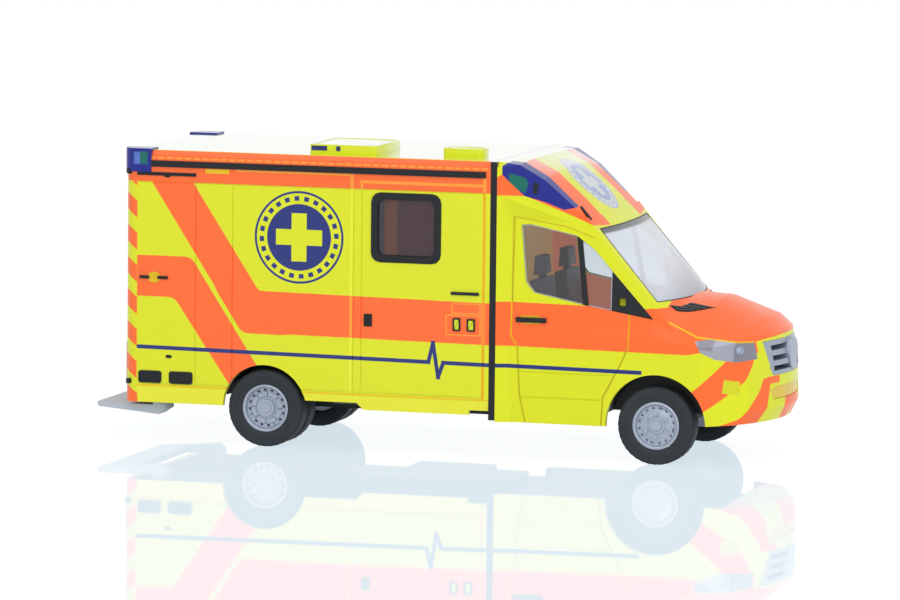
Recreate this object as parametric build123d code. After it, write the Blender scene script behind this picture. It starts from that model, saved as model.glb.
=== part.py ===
from build123d import *
import os

os.makedirs("parts", exist_ok=True)

# A 1:87 scale model of a box-bodied ambulance, in millimetres.
# It is laid out from the rear axle: X runs forward, Y to the left, Z up from the floor.
# The last step shifts every piece so that the origin is below the middle of the whole length.

# Running gear
WHEELBASE = 42.1
TYRE_R = 4.06
TYRE_W = 2.3
TYRE_SHOULDER = 0.45
RIM_R = 2.5
RIM_LIP = 0.25
RIM_SINK = 0.1
RIM_RING_R = 1.55
FRONT_DISH = 0.4
REAR_DISH = 0.8
HUB_R = 0.95
HUB_RISE = 0.3
HUB_SIDES = 16
BORE_SIDES = 8
PIN_R = 0.5
PIN_SINK = 0.3
REAR_WHEEL_IN = 0.4
FRONT_WHEEL_IN = 0.8
TWIN_GAP = 0.35
RIM_HOLES = 10
RIM_HOLE_R = 0.24
WHEEL_NUTS = 6
WHEEL_NUT_R = 0.24
NUT_H = 0.18

# Load box
BOX_REAR = 15.55
BOX_FRONT = 24.4
BOX_HALF = 12.0
ROOF_Z = 30.8
SKIRT_Z = 4.15
MID_SKIRT_Z = 5.1
STEP_SKIRT_Z = 4.37
STEP_SKIRT_X = 10.8
STEP_SKIRT_L = 11.4
STEP_NOTCH = 0.5
TUCK_Z = 6.0
TUCK_IN = 0.4
COVE_H = 1.0
COVE_IN = 0.2
ROOF_EDGE = 0.45
BOX_WALL = 0.9
BOX_CORNER = 1.45
REAR_ARCH_R = 4.6
GASKET_T = 0.7
GASKET_WALL = 1.3
GASKET_FOOT_Z = 3.95
GROOVE_D = 0.1
GROOVE_W = 0.16

# Side-door window in the right wall, and the pair in the rear doors
WINDOW_BACK = 9.06
WINDOW_Z = 23.58
WINDOW_W = 7.6
WINDOW_H = 7.3
WINDOW_CORNER = 1.0
WINDOW_FRAME = 0.75
WINDOW_PROUD = 0.1
PANE_SINK = 0.2
PANE_T = 0.4
REAR_WINDOW_W = 6.0
REAR_WINDOW_H = 6.6
REAR_WINDOW_Y = 5.4

# Cab
CAB_IN = 0.5
CAB_SILL_Z = 3.8
CAB_WAIST_Z = 8.5
CAB_WALL = 0.8
SHOULDER_IN = 0.1
SHOULDER_Z = 12.8
DOOR_TOP_IN = 0.8
DOOR_TAPER = 0.021
DOOR_SPARE = 1.0
PILLAR_FOOT_X = 2.6
PILLAR_TOP_X = -7.7
PILLAR_TOP_Z = 25.2
SCREEN_FOOT_BOW = 3.2
SCREEN_TOP_BOW = 0.5
SCREEN_FOOT_Z = 16.7
SCREEN_FOOT_IN = 1.5
SCREEN_TOP_DROP = 1.1
SCREEN_TOP_IN = 1.9
SCREEN_DEPTH = 1.8
COWL_X = 1.6
GLASS_T = 0.4
GLASS_SINK = 0.15
FLARE_L = 1.6
FRONT_ARCH_R = 5.3
NOSE_REACH = 11.9
NOSE_IN = 2.1
NOSE_SWEEP = 2.4
NOSE_ROOM = 0.15
NOSE_FOOT_Z = 4.4
CHIN_H = 1.4
CHIN_BACK = 0.7
BROW_BACK = 0.1
BROW_DROP = 3.0
SILL_IN = 0.25
HOOD_EDGE_Z = 13.35
HOOD_EDGE_BACK = 0.7
HOOD_NOSE_UP = 1.5
HOOD_NOSE_BACK = 2.3
HOOD_TOP_Z = 17.2
HOOD_BACK = 3.9
WING_AT = 0.2
CHEEK_AT = 0.57
CHEEK_IN = 0.55
BAY_L = 7.0
BAY_ROOF_Z = 12.0
CABIN_L = 1.0
FAIRING_DROP = 0.8
FAIRING_LIP = 0.8
FAIRING_IN = 1.9
FAIRING_SEAT_IN = 0.3
FAIRING_EAVE = 3.4

# Lamps and trim
LAMP_INNER = 1.4
BEACON_DEPTH = 2.6
GRILLE_DEPTH = 2.8
GRILLE_IN = 4.8
GRILLE_Z = 9.15
GRILLE_H = 3.6
GRILLE_BARS = 3
GRILLE_RIM = 0.45
SLOT_DEPTH = 2.2
BOSS_R = 1.7
BOSS_SIDES = 24
PLATE_IN = 5.3
PLATE_H = 1.35
PLATE_Z = 6.65
PLATE_SINK = 0.15
TRIM_DEPTH = 0.5
SOCKET = 0.8
RAIL_DROP = 1.4
RAIL_H = 0.65
RAIL_PROUD = 0.2
STRIP_H = 0.35
STRIP_L = 6.5
CORNER_LAMP_L = 3.0
CORNER_LAMP_W = 2.2
CORNER_LAMP_H = 2.3
CORNER_LAMP_PROUD = 0.15
TAIL_LAMP_IN = 1.6
TAIL_LAMP_W = 1.2
TAIL_LAMP_H = 4.0
TAIL_LAMP_Z = 6.3
TAIL_LAMP_T = 0.2
HATCH_CORNER = 0.5

# Rear step
STEP_REACH = 3.65
STEP_IN = 1.6
STEP_TOP_Z = 3.75
STEP_LIP = 0.4
STEP_SLOPE = 0.6
STEP_TREAD = 4.0
STEP_ARM = 2.2
STEP_L = 8.0
STEP_POST = 1.6
STEP_CORNER = 0.9

# Inside the cab
SEAT_IN = 6.6
SEAT_W = 5.2
SEAT_X = 2.0
SEAT_L = 6.2
CUSHION_H = 5.2
BACK_H = 12.4
REST_W = 3.0
DASH_Z = 15.6
DASH_L = 4.6
DASH_BROW = 0.6
DASH_OVERHANG = 1.4
WHEEL_RIM_R = 1.9
WHEEL_RIM_T = 0.2
WHEEL_SIDES = 16
WHEEL_BACK = 6.6
WHEEL_TILT = 55
COLUMN_R = 0.4
COLUMN_L = 2.6

# Underside
FLOOR_Z = 5.2
FLOOR_T = 0.8
FLOOR_ROOM = 0.7
HOUSING_WALL = 0.6
KEEL_HALF = 4.2
KEEL_Z = 3.55
AXLE_BLOCK_L = 3.2
TANK_L = 8.5
TANK_Z = 3.6
TANK_GAP = 0.8
PIPE_R = 0.55
PIPE_SIDES = 8
PIPE_Y = 7.4

# Fits
FIT = 0.03
AXLE_PLAY = 0.1
WHEEL_ROOM = 0.5
CUT_ROOM = 10.0

# Places that follow from the sizes above
CAB_REAR_X = BOX_FRONT + GASKET_T
FRONT_X = WHEELBASE
NOSE_X = FRONT_X + NOSE_REACH
TAIL_X = -BOX_REAR - STEP_REACH
SHIFT_X = -(NOSE_X + TAIL_X) / 2
CAB_HALF = BOX_HALF - CAB_IN
WINDOW_X = BOX_FRONT - WINDOW_BACK
GRILLE_HALF = CAB_HALF - GRILLE_IN
PLATE_HALF = CAB_HALF - PLATE_IN
SEAT_Y = CAB_HALF - SEAT_IN
FLOOR_HALF = BOX_HALF - BOX_WALL - FLOOR_ROOM
FLOOR_TOP = FLOOR_Z + FLOOR_T
LIP_X = FRONT_X + PILLAR_TOP_X + FAIRING_LIP
LIP_Z = PILLAR_TOP_Z - FAIRING_DROP
EAVE_Z = ROOF_Z - FAIRING_EAVE
DOOR_TOP_HALF = CAB_HALF - DOOR_TOP_IN
HOUSING_TOP_Z = TYRE_R + FRONT_ARCH_R + HOUSING_WALL
REAR_FACE_Y = BOX_HALF - REAR_WHEEL_IN
FRONT_FACE_Y = BOX_HALF - FRONT_WHEEL_IN
INNER_FACE_Y = REAR_FACE_Y - TYRE_W - TWIN_GAP
WIDE = 2 * BOX_HALF + CUT_ROOM
TALL = ROOF_Z + CUT_ROOM
LONG = NOSE_X - TAIL_X + CUT_ROOM


def keep(name, piece):
    """Write one piece to its own file, in the shared frame."""
    solid = Pos(SHIFT_X, 0, 0) * piece
    solid.label = name
    export_step(solid, f"parts/{name}.step")


def outline(*points):
    """A face from the corner points of a closed outline."""
    return make_face(Polyline(*points, close=True))


def shrunk(face, play):
    """A face drawn in by the play of a fit, with its corners kept sharp."""
    return offset(face, -play, kind=Kind.INTERSECTION) if play else face


# Shares of the corner's size, in from the side and from the top
CORNER_STEPS = ((0.0, 1.0), (0.134, 0.5), (0.5, 0.134), (1.0, 0.0))


def soft_rectangle(width, height, corner):
    """A rectangle whose corners are each turned in three short steps."""
    right = [(width / 2 - across * corner, height / 2 - down * corner) for across, down in CORNER_STEPS]
    left = [(-x, y) for x, y in reversed(right)]
    top = right + left
    return outline(*top, *[(-x, -y) for x, y in top])


def side_prism(face):
    """A face drawn in the side view as (x, z), run across the whole width."""
    return extrude(Plane.XZ * face, WIDE / 2, both=True)


def front_prism(face, x_from, x_to):
    """A face drawn in the front view as (y, z), run along the length."""
    return extrude(Plane.YZ.offset(x_from) * face, x_to - x_from)


def plan_prism(face, z_from=0, z_to=TALL):
    """A face drawn from above as (x, y), run upwards."""
    return extrude(Plane.XY.offset(z_from) * face, z_to - z_from)


def block(x, y, z):
    """A box between pairs of limits."""
    size = [limits[1] - limits[0] for limits in (x, y, z)]
    centre = [(limits[1] + limits[0]) / 2 for limits in (x, y, z)]
    return Pos(*centre) * Box(*size)


def left_part(y_from=0):
    """The space to the left of a distance from the middle."""
    return block((-LONG, LONG), (y_from, WIDE), (-TALL, TALL))


def drum(x, z, radius, y_from, y_to):
    """A cylinder across the vehicle, between two distances from the middle."""
    return Pos(x, (y_from + y_to) / 2, z) * Rot(90, 0, 0) * Cylinder(radius, y_to - y_from)


def on_right(piece):
    """The right-hand twin of a piece on the left."""
    return mirror(piece, Plane.XZ)


def keep_pair(name, left_piece):
    """Write a left piece and its right twin."""
    keep(f"{name}_left", left_piece)
    keep(f"{name}_right", on_right(left_piece))


# Load box


def box_side_face():
    """The box from the side, with its stepped skirt."""
    step_end = STEP_SKIRT_X + STEP_SKIRT_L
    return outline(
        (-BOX_REAR, SKIRT_Z),
        (-REAR_ARCH_R / 2, SKIRT_Z),
        (0, MID_SKIRT_Z),
        (STEP_SKIRT_X - (MID_SKIRT_Z - STEP_SKIRT_Z), MID_SKIRT_Z),
        (STEP_SKIRT_X, STEP_SKIRT_Z),
        (step_end, STEP_SKIRT_Z),
        (step_end, STEP_SKIRT_Z + STEP_NOTCH),
        (BOX_FRONT, STEP_SKIRT_Z + STEP_NOTCH),
        (BOX_FRONT, ROOF_Z),
        (-BOX_REAR + ROOF_EDGE, ROOF_Z),
        (-BOX_REAR, ROOF_Z - ROOF_EDGE),
    )


def box_front_face():
    """The box from the front: tucked skirts, upright walls, a cove below the roof."""
    left = [
        (BOX_HALF - TUCK_IN, 0),
        (BOX_HALF - TUCK_IN, SKIRT_Z),
        (BOX_HALF, TUCK_Z),
        (BOX_HALF, ROOF_Z - COVE_H),
        (BOX_HALF - COVE_IN, ROOF_Z - ROOF_EDGE),
        (BOX_HALF - COVE_IN - ROOF_EDGE, ROOF_Z),
    ]
    return outline(*left, *[(-y, z) for y, z in reversed(left)])


# Shares of the length of the box, from the rear
PANEL_LINES = (0.197, 0.299, 0.63, 0.652, 0.983)


def along_box(share):
    """A place on the length of the box, from its rear."""
    return -BOX_REAR + share * (BOX_REAR + BOX_FRONT)


def side_groove(x, z):
    """A shallow panel line in the left wall, between pairs of limits."""
    return block(x, (BOX_HALF - GROOVE_D, WIDE), z)


def box_grooves():
    """The panel lines of the lockers and the side door, on the left."""
    top = EAVE_Z
    posts = [along_box(share) for share in PANEL_LINES]
    lines = [side_groove((x, x + GROOVE_W), (TUCK_Z, top + GROOVE_W)) for x in posts]
    rear = -BOX_REAR + BOX_CORNER + GROOVE_W
    for z in (top, TUCK_Z + GROOVE_W):
        lines.append(side_groove((rear, posts[-1] + GROOVE_W), (z, z + GROOVE_W)))
    return lines


def rear_door_grooves():
    """The seam between the rear doors and the line above them."""
    depth = (-LONG, -BOX_REAR + GROOVE_D)
    top = EAVE_Z
    seam = block(depth, (-GROOVE_W / 2, GROOVE_W / 2), (SKIRT_Z, top))
    edge = BOX_HALF - BOX_CORNER - GROOVE_W
    head = block(depth, (-edge, edge), (top, top + GROOVE_W))
    return [seam, head]


def side_window_prism(shrink, y_from, y_to):
    """The outline of the side-door window, drawn in by a margin, run through the right wall."""
    corner = WINDOW_CORNER - shrink / 2
    face = soft_rectangle(WINDOW_W - 2 * shrink, WINDOW_H - 2 * shrink, corner)
    prism = side_prism(Pos(WINDOW_X, WINDOW_Z) * face)
    return prism & block((-LONG, LONG), (y_from, y_to), (0, TALL))


def rear_window_prism(side, shrink):
    """The outline of a rear-door window, run through the rear wall."""
    face = soft_rectangle(REAR_WINDOW_W - 2 * shrink, REAR_WINDOW_H - 2 * shrink, WINDOW_CORNER)
    return front_prism(Pos(side * REAR_WINDOW_Y, WINDOW_Z) * face, -BOX_REAR - 1, -BOX_REAR + BOX_WALL + 1)


def corner_lamp():
    """The left rear blue lamp, wrapped round the roof corner."""
    body = block(
        (-BOX_REAR - CORNER_LAMP_PROUD, -BOX_REAR + CORNER_LAMP_L),
        (BOX_HALF - CORNER_LAMP_W, BOX_HALF + CORNER_LAMP_PROUD),
        (ROOF_Z - CORNER_LAMP_H, ROOF_Z + CORNER_LAMP_PROUD),
    )
    posts = body.edges().filter_by(Axis.Z)
    return fillet(posts.group_by(Axis.X)[0].sort_by(Axis.Y)[-1], BOX_CORNER)


def box_shell():
    """The load box: a hollow body, open below and towards the cab."""
    body = block((-BOX_REAR, BOX_FRONT), (-BOX_HALF, BOX_HALF), (0, ROOF_Z))
    body = fillet(body.edges().filter_by(Axis.Z).group_by(Axis.X)[0], BOX_CORNER)
    body &= side_prism(box_side_face())
    body &= front_prism(box_front_face(), -BOX_REAR, BOX_FRONT)
    inner = BOX_HALF - BOX_WALL
    body -= block((-BOX_REAR + BOX_WALL, LONG), (-inner, inner), (0, ROOF_Z - BOX_WALL))
    body -= drum(0, TYRE_R, REAR_ARCH_R, -WIDE, WIDE)
    body -= side_window_prism(0, -WIDE, 0)
    for side in (-1, 1):
        body -= rear_window_prism(side, 0)
    lamp_seat = block(
        (-LONG, -BOX_REAR + CORNER_LAMP_L),
        (BOX_HALF - CORNER_LAMP_W, WIDE),
        (ROOF_Z - CORNER_LAMP_H, TALL),
    )
    for cut in [lamp_seat, *box_grooves()]:
        body -= cut
        body -= on_right(cut)
    for cut in rear_door_grooves():
        body -= cut
    return body


def window_frame():
    """The black frame of the side-door window."""
    ring = side_window_prism(FIT, -BOX_HALF - WINDOW_PROUD, -BOX_HALF + BOX_WALL)
    return ring - side_window_prism(WINDOW_FRAME, -WIDE, 0)


def window_pane():
    """The tinted pane inside the frame."""
    face_y = -BOX_HALF + PANE_SINK
    return side_window_prism(WINDOW_FRAME + FIT, face_y, face_y + PANE_T)


def rear_pane(side):
    """One pane of the rear doors."""
    face_x = -BOX_REAR + PANE_SINK
    return rear_window_prism(side, FIT) & block((face_x, face_x + PANE_T), (-WIDE, WIDE), (0, TALL))


def seam_gasket():
    """The black hoop between box and cab."""
    inner = BOX_HALF - GASKET_WALL
    hoop = block((BOX_FRONT, CAB_REAR_X), (-BOX_HALF, BOX_HALF), (GASKET_FOOT_Z, ROOF_Z))
    return hoop - block((0, LONG), (-inner, inner), (0, ROOF_Z - GASKET_WALL))


def partition():
    """The wall between cab and load space, inside the hoop."""
    half = BOX_HALF - GASKET_WALL - FIT
    return block((BOX_FRONT, CAB_REAR_X), (-half, half), (FLOOR_TOP, ROOF_Z - GASKET_WALL - FIT))


# Cab


def cab_plan(inset=0):
    """The lower cab from above: straight doors, then wings that sweep in to the nose."""
    half = CAB_HALF - inset
    wing = (FRONT_X + WING_AT * NOSE_REACH, half)
    cheek = (FRONT_X + CHEEK_AT * NOSE_REACH, half - CHEEK_IN)
    corner = (NOSE_X - NOSE_SWEEP + NOSE_ROOM - inset, CAB_HALF - NOSE_IN)
    right = [(x, -y) for x, y in (wing, cheek, corner)]
    return make_face(
        [
            Line((CAB_REAR_X, -half), right[0]),
            ThreePointArc(*right),
            ThreePointArc(right[2], (NOSE_X + 2 * NOSE_ROOM - inset, 0), corner),
            ThreePointArc(corner, cheek, wing),
            Line(wing, (CAB_REAR_X, half)),
            Line((CAB_REAR_X, half), (CAB_REAR_X, -half)),
        ]
    )


def nose_form():
    """Bumper, grille face and the front of the hood, swept round the nose, with the doors behind."""
    chord = CAB_HALF - NOSE_IN
    radius = (chord**2 + NOSE_SWEEP**2) / (2 * NOSE_SWEEP)
    axis_x = NOSE_X - radius
    face = outline(
        (axis_x, CAB_SILL_Z),
        (FRONT_X + FRONT_ARCH_R, CAB_SILL_Z),
        (NOSE_X - CHIN_BACK, NOSE_FOOT_Z),
        (NOSE_X, NOSE_FOOT_Z + CHIN_H),
        (NOSE_X - BROW_BACK, HOOD_EDGE_Z - BROW_DROP),
        (NOSE_X - HOOD_EDGE_BACK, HOOD_EDGE_Z),
        (NOSE_X - HOOD_NOSE_BACK, HOOD_EDGE_Z + HOOD_NOSE_UP),
        (FRONT_X + HOOD_BACK, HOOD_TOP_Z),
        (axis_x, HOOD_TOP_Z),
    )
    pivot = Axis((axis_x, 0, 0), (0, 0, 1))
    sweep = revolve(Plane.XZ * face, pivot, 180).rotate(pivot, -90)
    return sweep + block((axis_x - LONG, axis_x), (-WIDE / 2, WIDE / 2), (CAB_SILL_Z, HOOD_TOP_Z))


def wing_section(inset, side, edge_in, edge, crown):
    """The lower cab from the front: upright sides, a wing crease and a crowned hood."""
    half = CAB_HALF - inset
    rise = HOOD_TOP_Z - SHOULDER_Z
    left = [
        (half - SILL_IN, 0),
        (half, CAB_WAIST_Z),
        (half - SHOULDER_IN, SHOULDER_Z + side * rise),
        (half - edge_in * CAB_HALF, SHOULDER_Z + edge * rise),
    ]
    right = [(-y, z) for y, z in left]
    return make_face(
        [
            Polyline(*reversed(right), *left),
            ThreePointArc(left[-1], (0, SHOULDER_Z + crown * rise), right[-1]),
        ]
    )


# Columns: share of the reach ahead of the front axle, height of the side,
# inset of the crease as a share of the half width, height of the crease, height of the crown.
# The heights are shares of the rise from the shoulder to the top of the hood.
HOOD_SECTIONS = (
    ((CAB_REAR_X - FRONT_X) / NOSE_REACH, 0.0, 0.078, 0.795, 0.864),
    (-0.042, 0.0, 0.078, 0.795, 0.864),
    (0.126, 0.0, 0.083, 0.455, 0.932),
    (0.403, -0.091, 0.087, 0.159, 0.898),
    (1.041, -0.318, 0.13, -0.114, 0.241),
)


def lower_cab(inset=0):
    """Doors, wings, hood and bumper as one form."""
    sections = []
    for ahead, *sizes in HOOD_SECTIONS:
        sections.append(Plane.YZ.offset(FRONT_X + ahead * NOSE_REACH) * wing_section(inset, *sizes))
    return loft(sections, ruled=True) & plan_prism(cab_plan(inset)) & nose_form()


def upper_plan(rear_in, front_x, bow, inset):
    """The cab above the shoulder from above, with a bowed windscreen and room at the sides."""
    x = FRONT_X + front_x - inset
    half = CAB_HALF - rear_in - inset - DOOR_TAPER * (x - CAB_REAR_X)
    radius = (half**2 + bow**2) / (2 * bow)
    wide = half + DOOR_SPARE
    edge = x + bow - radius + (radius**2 - wide**2) ** 0.5
    return make_face(
        [
            Line((CAB_REAR_X, -wide), (edge, -wide)),
            ThreePointArc((edge, -wide), (x + bow, 0), (edge, wide)),
            Line((edge, wide), (CAB_REAR_X, wide)),
            Line((CAB_REAR_X, wide), (CAB_REAR_X, -wide)),
        ]
    )


def door_plane(side, inset):
    """The flat side of the glazed part of the cab, which leans and tapers in."""
    lean = (DOOR_TOP_IN - SHOULDER_IN) / (PILLAR_TOP_Z - SHOULDER_Z)
    foot = (CAB_REAR_X, side * (CAB_HALF - SHOULDER_IN - inset), SHOULDER_Z)
    return Plane(foot, x_dir=(1, -side * DOOR_TAPER, 0), z_dir=(DOOR_TAPER, side, lean))


def upper_cab(inset=0):
    """The glazed part of the cab, leaning in towards the roof."""
    foot = upper_plan(SHOULDER_IN, PILLAR_FOOT_X, SCREEN_FOOT_BOW, inset)
    top = upper_plan(DOOR_TOP_IN, PILLAR_TOP_X, SCREEN_TOP_BOW, inset)
    body = loft([Plane.XY.offset(SHOULDER_Z) * foot, Plane.XY.offset(PILLAR_TOP_Z) * top], ruled=True)
    for side in (1, -1):
        body = split(body, door_plane(side, inset), keep=Keep.BOTTOM)
    return body


def fairing_point(along, up):
    """A place on the fairing seen from the side."""
    return (CAB_REAR_X + along * (LIP_X - CAB_REAR_X), LIP_Z + up * (ROOF_Z - LIP_Z))


def fairing_half(x):
    """Half the width of the fairing, which narrows towards the windscreen."""
    return BOX_HALF - FAIRING_IN * (x - CAB_REAR_X) / (LIP_X - CAB_REAR_X)


def flare():
    """The pillar behind the doors, which widens to the box and runs up to the eave of the fairing."""
    front_x = CAB_REAR_X + FLARE_L
    rear = [(BOX_HALF, CAB_SILL_Z), (BOX_HALF, PILLAR_TOP_Z), (BOX_HALF, EAVE_Z)]
    front = [(CAB_HALF, CAB_SILL_Z), (DOOR_TOP_HALF, PILLAR_TOP_Z), (fairing_half(front_x), EAVE_Z)]
    sections = []
    for x, left in ((CAB_REAR_X, rear), (front_x, front)):
        face = outline(*left, *[(-y, z) for y, z in reversed(left)])
        sections.append(Plane.YZ.offset(x) * face)
    return loft(sections, ruled=True)


# Columns: share of the fairing's length from the rear, height of the eave and of the crown
# as shares of the height above the lip
FAIRING_SECTIONS = (
    (0.0, 1.0, 1.016),
    (0.228, 0.961, 1.008),
    (0.485, 0.719, 0.828),
    (0.782, 0.297, 0.422),
    (1.02, -0.06, 0.047),
)


def fairing():
    """The roof fairing, from the box roof down to the windscreen, with a crowned top."""
    tops = []
    for along, eave, crown in FAIRING_SECTIONS:
        x, eave_z = fairing_point(along, eave)
        crown_z = fairing_point(along, crown)[1]
        half = fairing_half(x)
        foot = [(half, SHOULDER_Z), (-half, SHOULDER_Z)]
        face = make_face(
            [
                Polyline((half, eave_z), *foot, (-half, eave_z)),
                ThreePointArc((-half, eave_z), (0, crown_z), (half, eave_z)),
            ]
        )
        tops.append(Plane.YZ.offset(x) * face)
    seat_half = DOOR_TOP_HALF - FAIRING_SEAT_IN
    left = [
        (seat_half, LIP_Z),
        (BOX_HALF, EAVE_Z),
        (BOX_HALF, ROOF_Z - ROOF_EDGE - COVE_IN),
        (BOX_HALF - ROOF_EDGE - COVE_IN, ROOF_Z),
    ]
    ahead = outline(*left, *[(-y, z) for y, z in reversed(left)])
    return loft(tops, ruled=True) & front_prism(ahead, CAB_REAR_X, LIP_X)


def cab_hollow(inset):
    """The space inside the cab and under the hood, open below and towards the box."""
    cabin = block((CAB_REAR_X, FRONT_X + CABIN_L), (-WIDE, WIDE), (0, SHOULDER_Z))
    bay = block((CAB_REAR_X, FRONT_X + BAY_L), (-WIDE, WIDE), (0, BAY_ROOF_Z))
    ceiling = block((CAB_REAR_X, NOSE_X), (-WIDE, WIDE), (0, PILLAR_TOP_Z - inset))
    return ((cabin + bay) & plan_prism(cab_plan(inset))) + (upper_cab(inset) & ceiling)


def screen_prism(play):
    """The windscreen opening, drawn from the front and run along the length."""
    foot = CAB_HALF - SCREEN_FOOT_IN - play
    top = CAB_HALF - SCREEN_TOP_IN - play
    head = PILLAR_TOP_Z - SCREEN_TOP_DROP - play
    sill = SCREEN_FOOT_Z + play
    face = outline((-foot, sill), (foot, sill), (top, head), (-top, head))
    return front_prism(face, LIP_X - SCREEN_DEPTH, FRONT_X + COWL_X)


def door_points(shape):
    """Places on the door, as shares of its length and of the height above the shoulder."""
    length = FRONT_X - CAB_REAR_X
    height = PILLAR_TOP_Z - SHOULDER_Z
    return [(CAB_REAR_X + along * length, SHOULDER_Z + up * height) for along, up in shape]


# Columns: share of the door's length from the rear, share of the height above the shoulder
DOOR_GLASS = (
    (0.135, 0.927),
    (0.194, 0.935),
    (0.482, 0.855),
    (0.598, 0.742),
    (0.712, 0.569),
    (0.712, 0.238),
    (0.547, 0.274),
    (0.224, 0.363),
    (0.171, 0.452),
)
MIRROR_BASE = ((0.712, 0.569), (0.976, 0.177), (0.712, 0.238))
WINDOW_BAR = ((0.485, 0.855), (0.518, 0.855), (0.568, 0.266), (0.532, 0.266))
MIRROR_SOCKET = (0.775, 0.31)
DOOR_LINES = (
    ((0.094, 0.992), (0.094, 0.0), (0.129, -0.09), (0.147, -0.5), (0.185, -0.74)),
    ((0.824, 0.21), (0.824, -0.065), (0.765, -0.245), (0.671, -0.487), (0.659, -0.74)),
    ((0.141, -0.298), (0.747, -0.298)),
    ((0.141, -0.508), (0.671, -0.508)),
)


def door_glass_prism(play):
    """The door window, drawn from the side and run through the left door."""
    face = outline(*door_points(DOOR_GLASS))
    return side_prism(shrunk(face, play)) & left_part()


def mirror_base_prism(play):
    """The triangle ahead of the door window, drawn from the side, on the left."""
    face = outline(*door_points(MIRROR_BASE))
    return side_prism(shrunk(face, play)) & left_part(DOOR_TOP_HALF - TRIM_DEPTH)


# Columns: share of the reach from front axle to nose, share of the height above the shoulder
HEADLAMP = (
    (0.34, 0.012),
    (0.453, 0.032),
    (0.806, -0.004),
    (0.838, -0.137),
    (0.689, -0.153),
    (0.521, -0.133),
    (0.395, -0.077),
)


def headlamp_prism():
    """The headlamp, drawn from the side, on the left."""
    height = PILLAR_TOP_Z - SHOULDER_Z
    face = outline(*[(FRONT_X + ahead * NOSE_REACH, SHOULDER_Z + up * height) for ahead, up in HEADLAMP])
    return side_prism(face) & left_part(CAB_HALF - NOSE_IN - LAMP_INNER)


# Columns: share of the fairing's length from the rear, share of its height above the lip
ROOF_BEACON = (
    (0.05, 0.942),
    (0.16, 1.05),
    (0.35, 1.0),
    (0.84, 0.35),
    (0.789, 0.286),
    (0.675, 0.248),
    (0.491, 0.364),
    (0.28, 0.458),
    (0.116, 0.694),
    (0.05, 0.803),
)


def roof_beacon_prism():
    """The blue leaf in the shoulder of the fairing, drawn from the side, on the left."""
    face = outline(*[fairing_point(*point) for point in ROOF_BEACON])
    return side_prism(face) & left_part(BOX_HALF - BEACON_DEPTH)


# Columns: share of the half width, share of the height
GRILLE_SHAPE = ((0.82, 0.0), (0.91, 0.2), (1.0, 1.0))
PLATE_SHAPE = ((0.89, 0.0), (1.0, 0.78), (0.81, 1.0))


def nose_prism(shape, half, z, height, play):
    """An opening in the nose, drawn from the front."""
    left = [(half * out, z + height * up) for out, up in shape]
    face = shrunk(outline(*left, *[(-y, z) for y, z in reversed(left)]), play)
    return front_prism(face, NOSE_X - GRILLE_DEPTH + play, NOSE_X)


def grille_prism(play):
    """The opening of the radiator grille."""
    return nose_prism(GRILLE_SHAPE, GRILLE_HALF, GRILLE_Z, GRILLE_H, play)


def plate_prism(play):
    """The opening of the panel in the bumper."""
    return nose_prism(PLATE_SHAPE, PLATE_HALF, PLATE_Z, PLATE_H, play)


LOWER = lower_cab()
UPPER = upper_cab()
FAIRING = fairing()


def cab_shell():
    """Cab, hood and roof fairing, with every opening cut."""
    body = LOWER + UPPER + flare() + FAIRING
    skin = (LOWER + UPPER) - (lower_cab(GROOVE_D) + upper_cab(GROOVE_D))
    body -= cab_hollow(CAB_WALL)
    body -= drum(FRONT_X, TYRE_R, FRONT_ARCH_R, -WIDE, WIDE)
    body -= screen_prism(0)
    body -= grille_prism(0)
    body -= plate_prism(0)
    cuts = [door_glass_prism(0), mirror_base_prism(0), headlamp_prism(), roof_beacon_prism()]
    for line in DOOR_LINES:
        band = trace(Polyline(*door_points(line)), GROOVE_W)
        cuts.append(side_prism(band) & left_part(CAB_HALF / 2) & skin)
    for cut in cuts:
        body -= cut
        body -= on_right(cut)
    return body


def windscreen():
    """The bowed windscreen pane."""
    return (UPPER - upper_cab(GLASS_T)) & screen_prism(FIT)


def door_glass():
    """The left door window."""
    return (upper_cab(GLASS_SINK) - upper_cab(GLASS_SINK + GLASS_T)) & door_glass_prism(FIT)


def mirror_base():
    """The black triangle with the square socket for a mirror arm, on the left."""
    spot = door_points([MIRROR_SOCKET])[0]
    socket = side_prism(Pos(*spot) * Rectangle(SOCKET, SOCKET)) & left_part()
    return (UPPER & mirror_base_prism(FIT)) - socket


def window_bar():
    """The black bar that divides the left door window."""
    face = outline(*door_points(WINDOW_BAR))
    return (UPPER & side_prism(face) & door_glass_prism(FIT)) - upper_cab(GLASS_SINK - FIT)


def headlamp():
    """The left headlamp, flush with wing and nose."""
    return LOWER & headlamp_prism()


def roof_beacon():
    """The left blue lamp of the fairing."""
    return FAIRING & roof_beacon_prism()


def grille():
    """The grille with its bars and a plain round boss."""
    body = LOWER & grille_prism(FIT)
    pitch = (GRILLE_H - GRILLE_RIM) / GRILLE_BARS
    slot_half = GRILLE_HALF - 3 * GRILLE_RIM
    slot_x = NOSE_X - SLOT_DEPTH
    for bar in range(GRILLE_BARS):
        foot = GRILLE_Z + GRILLE_RIM + bar * pitch
        body -= block((slot_x, LONG), (-slot_half, slot_half), (foot, foot + pitch / 2))
    boss = Pos(0, GRILLE_Z + GRILLE_H / 2) * RegularPolygon(BOSS_R, BOSS_SIDES)
    return body + front_prism(boss, slot_x, NOSE_X)


def plate_panel():
    """The blank panel sunk into the bumper below the grille."""
    return (Pos(-PLATE_SINK, 0, 0) * LOWER) & plate_prism(FIT)


# Trim


def gutter_rail():
    """The black gutter above the left wall."""
    z = ROOF_Z - RAIL_DROP
    return block(
        (-BOX_REAR + CORNER_LAMP_L, BOX_FRONT - STEP_NOTCH),
        (BOX_HALF, BOX_HALF + RAIL_PROUD),
        (z - RAIL_H / 2, z + RAIL_H / 2),
    )


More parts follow.
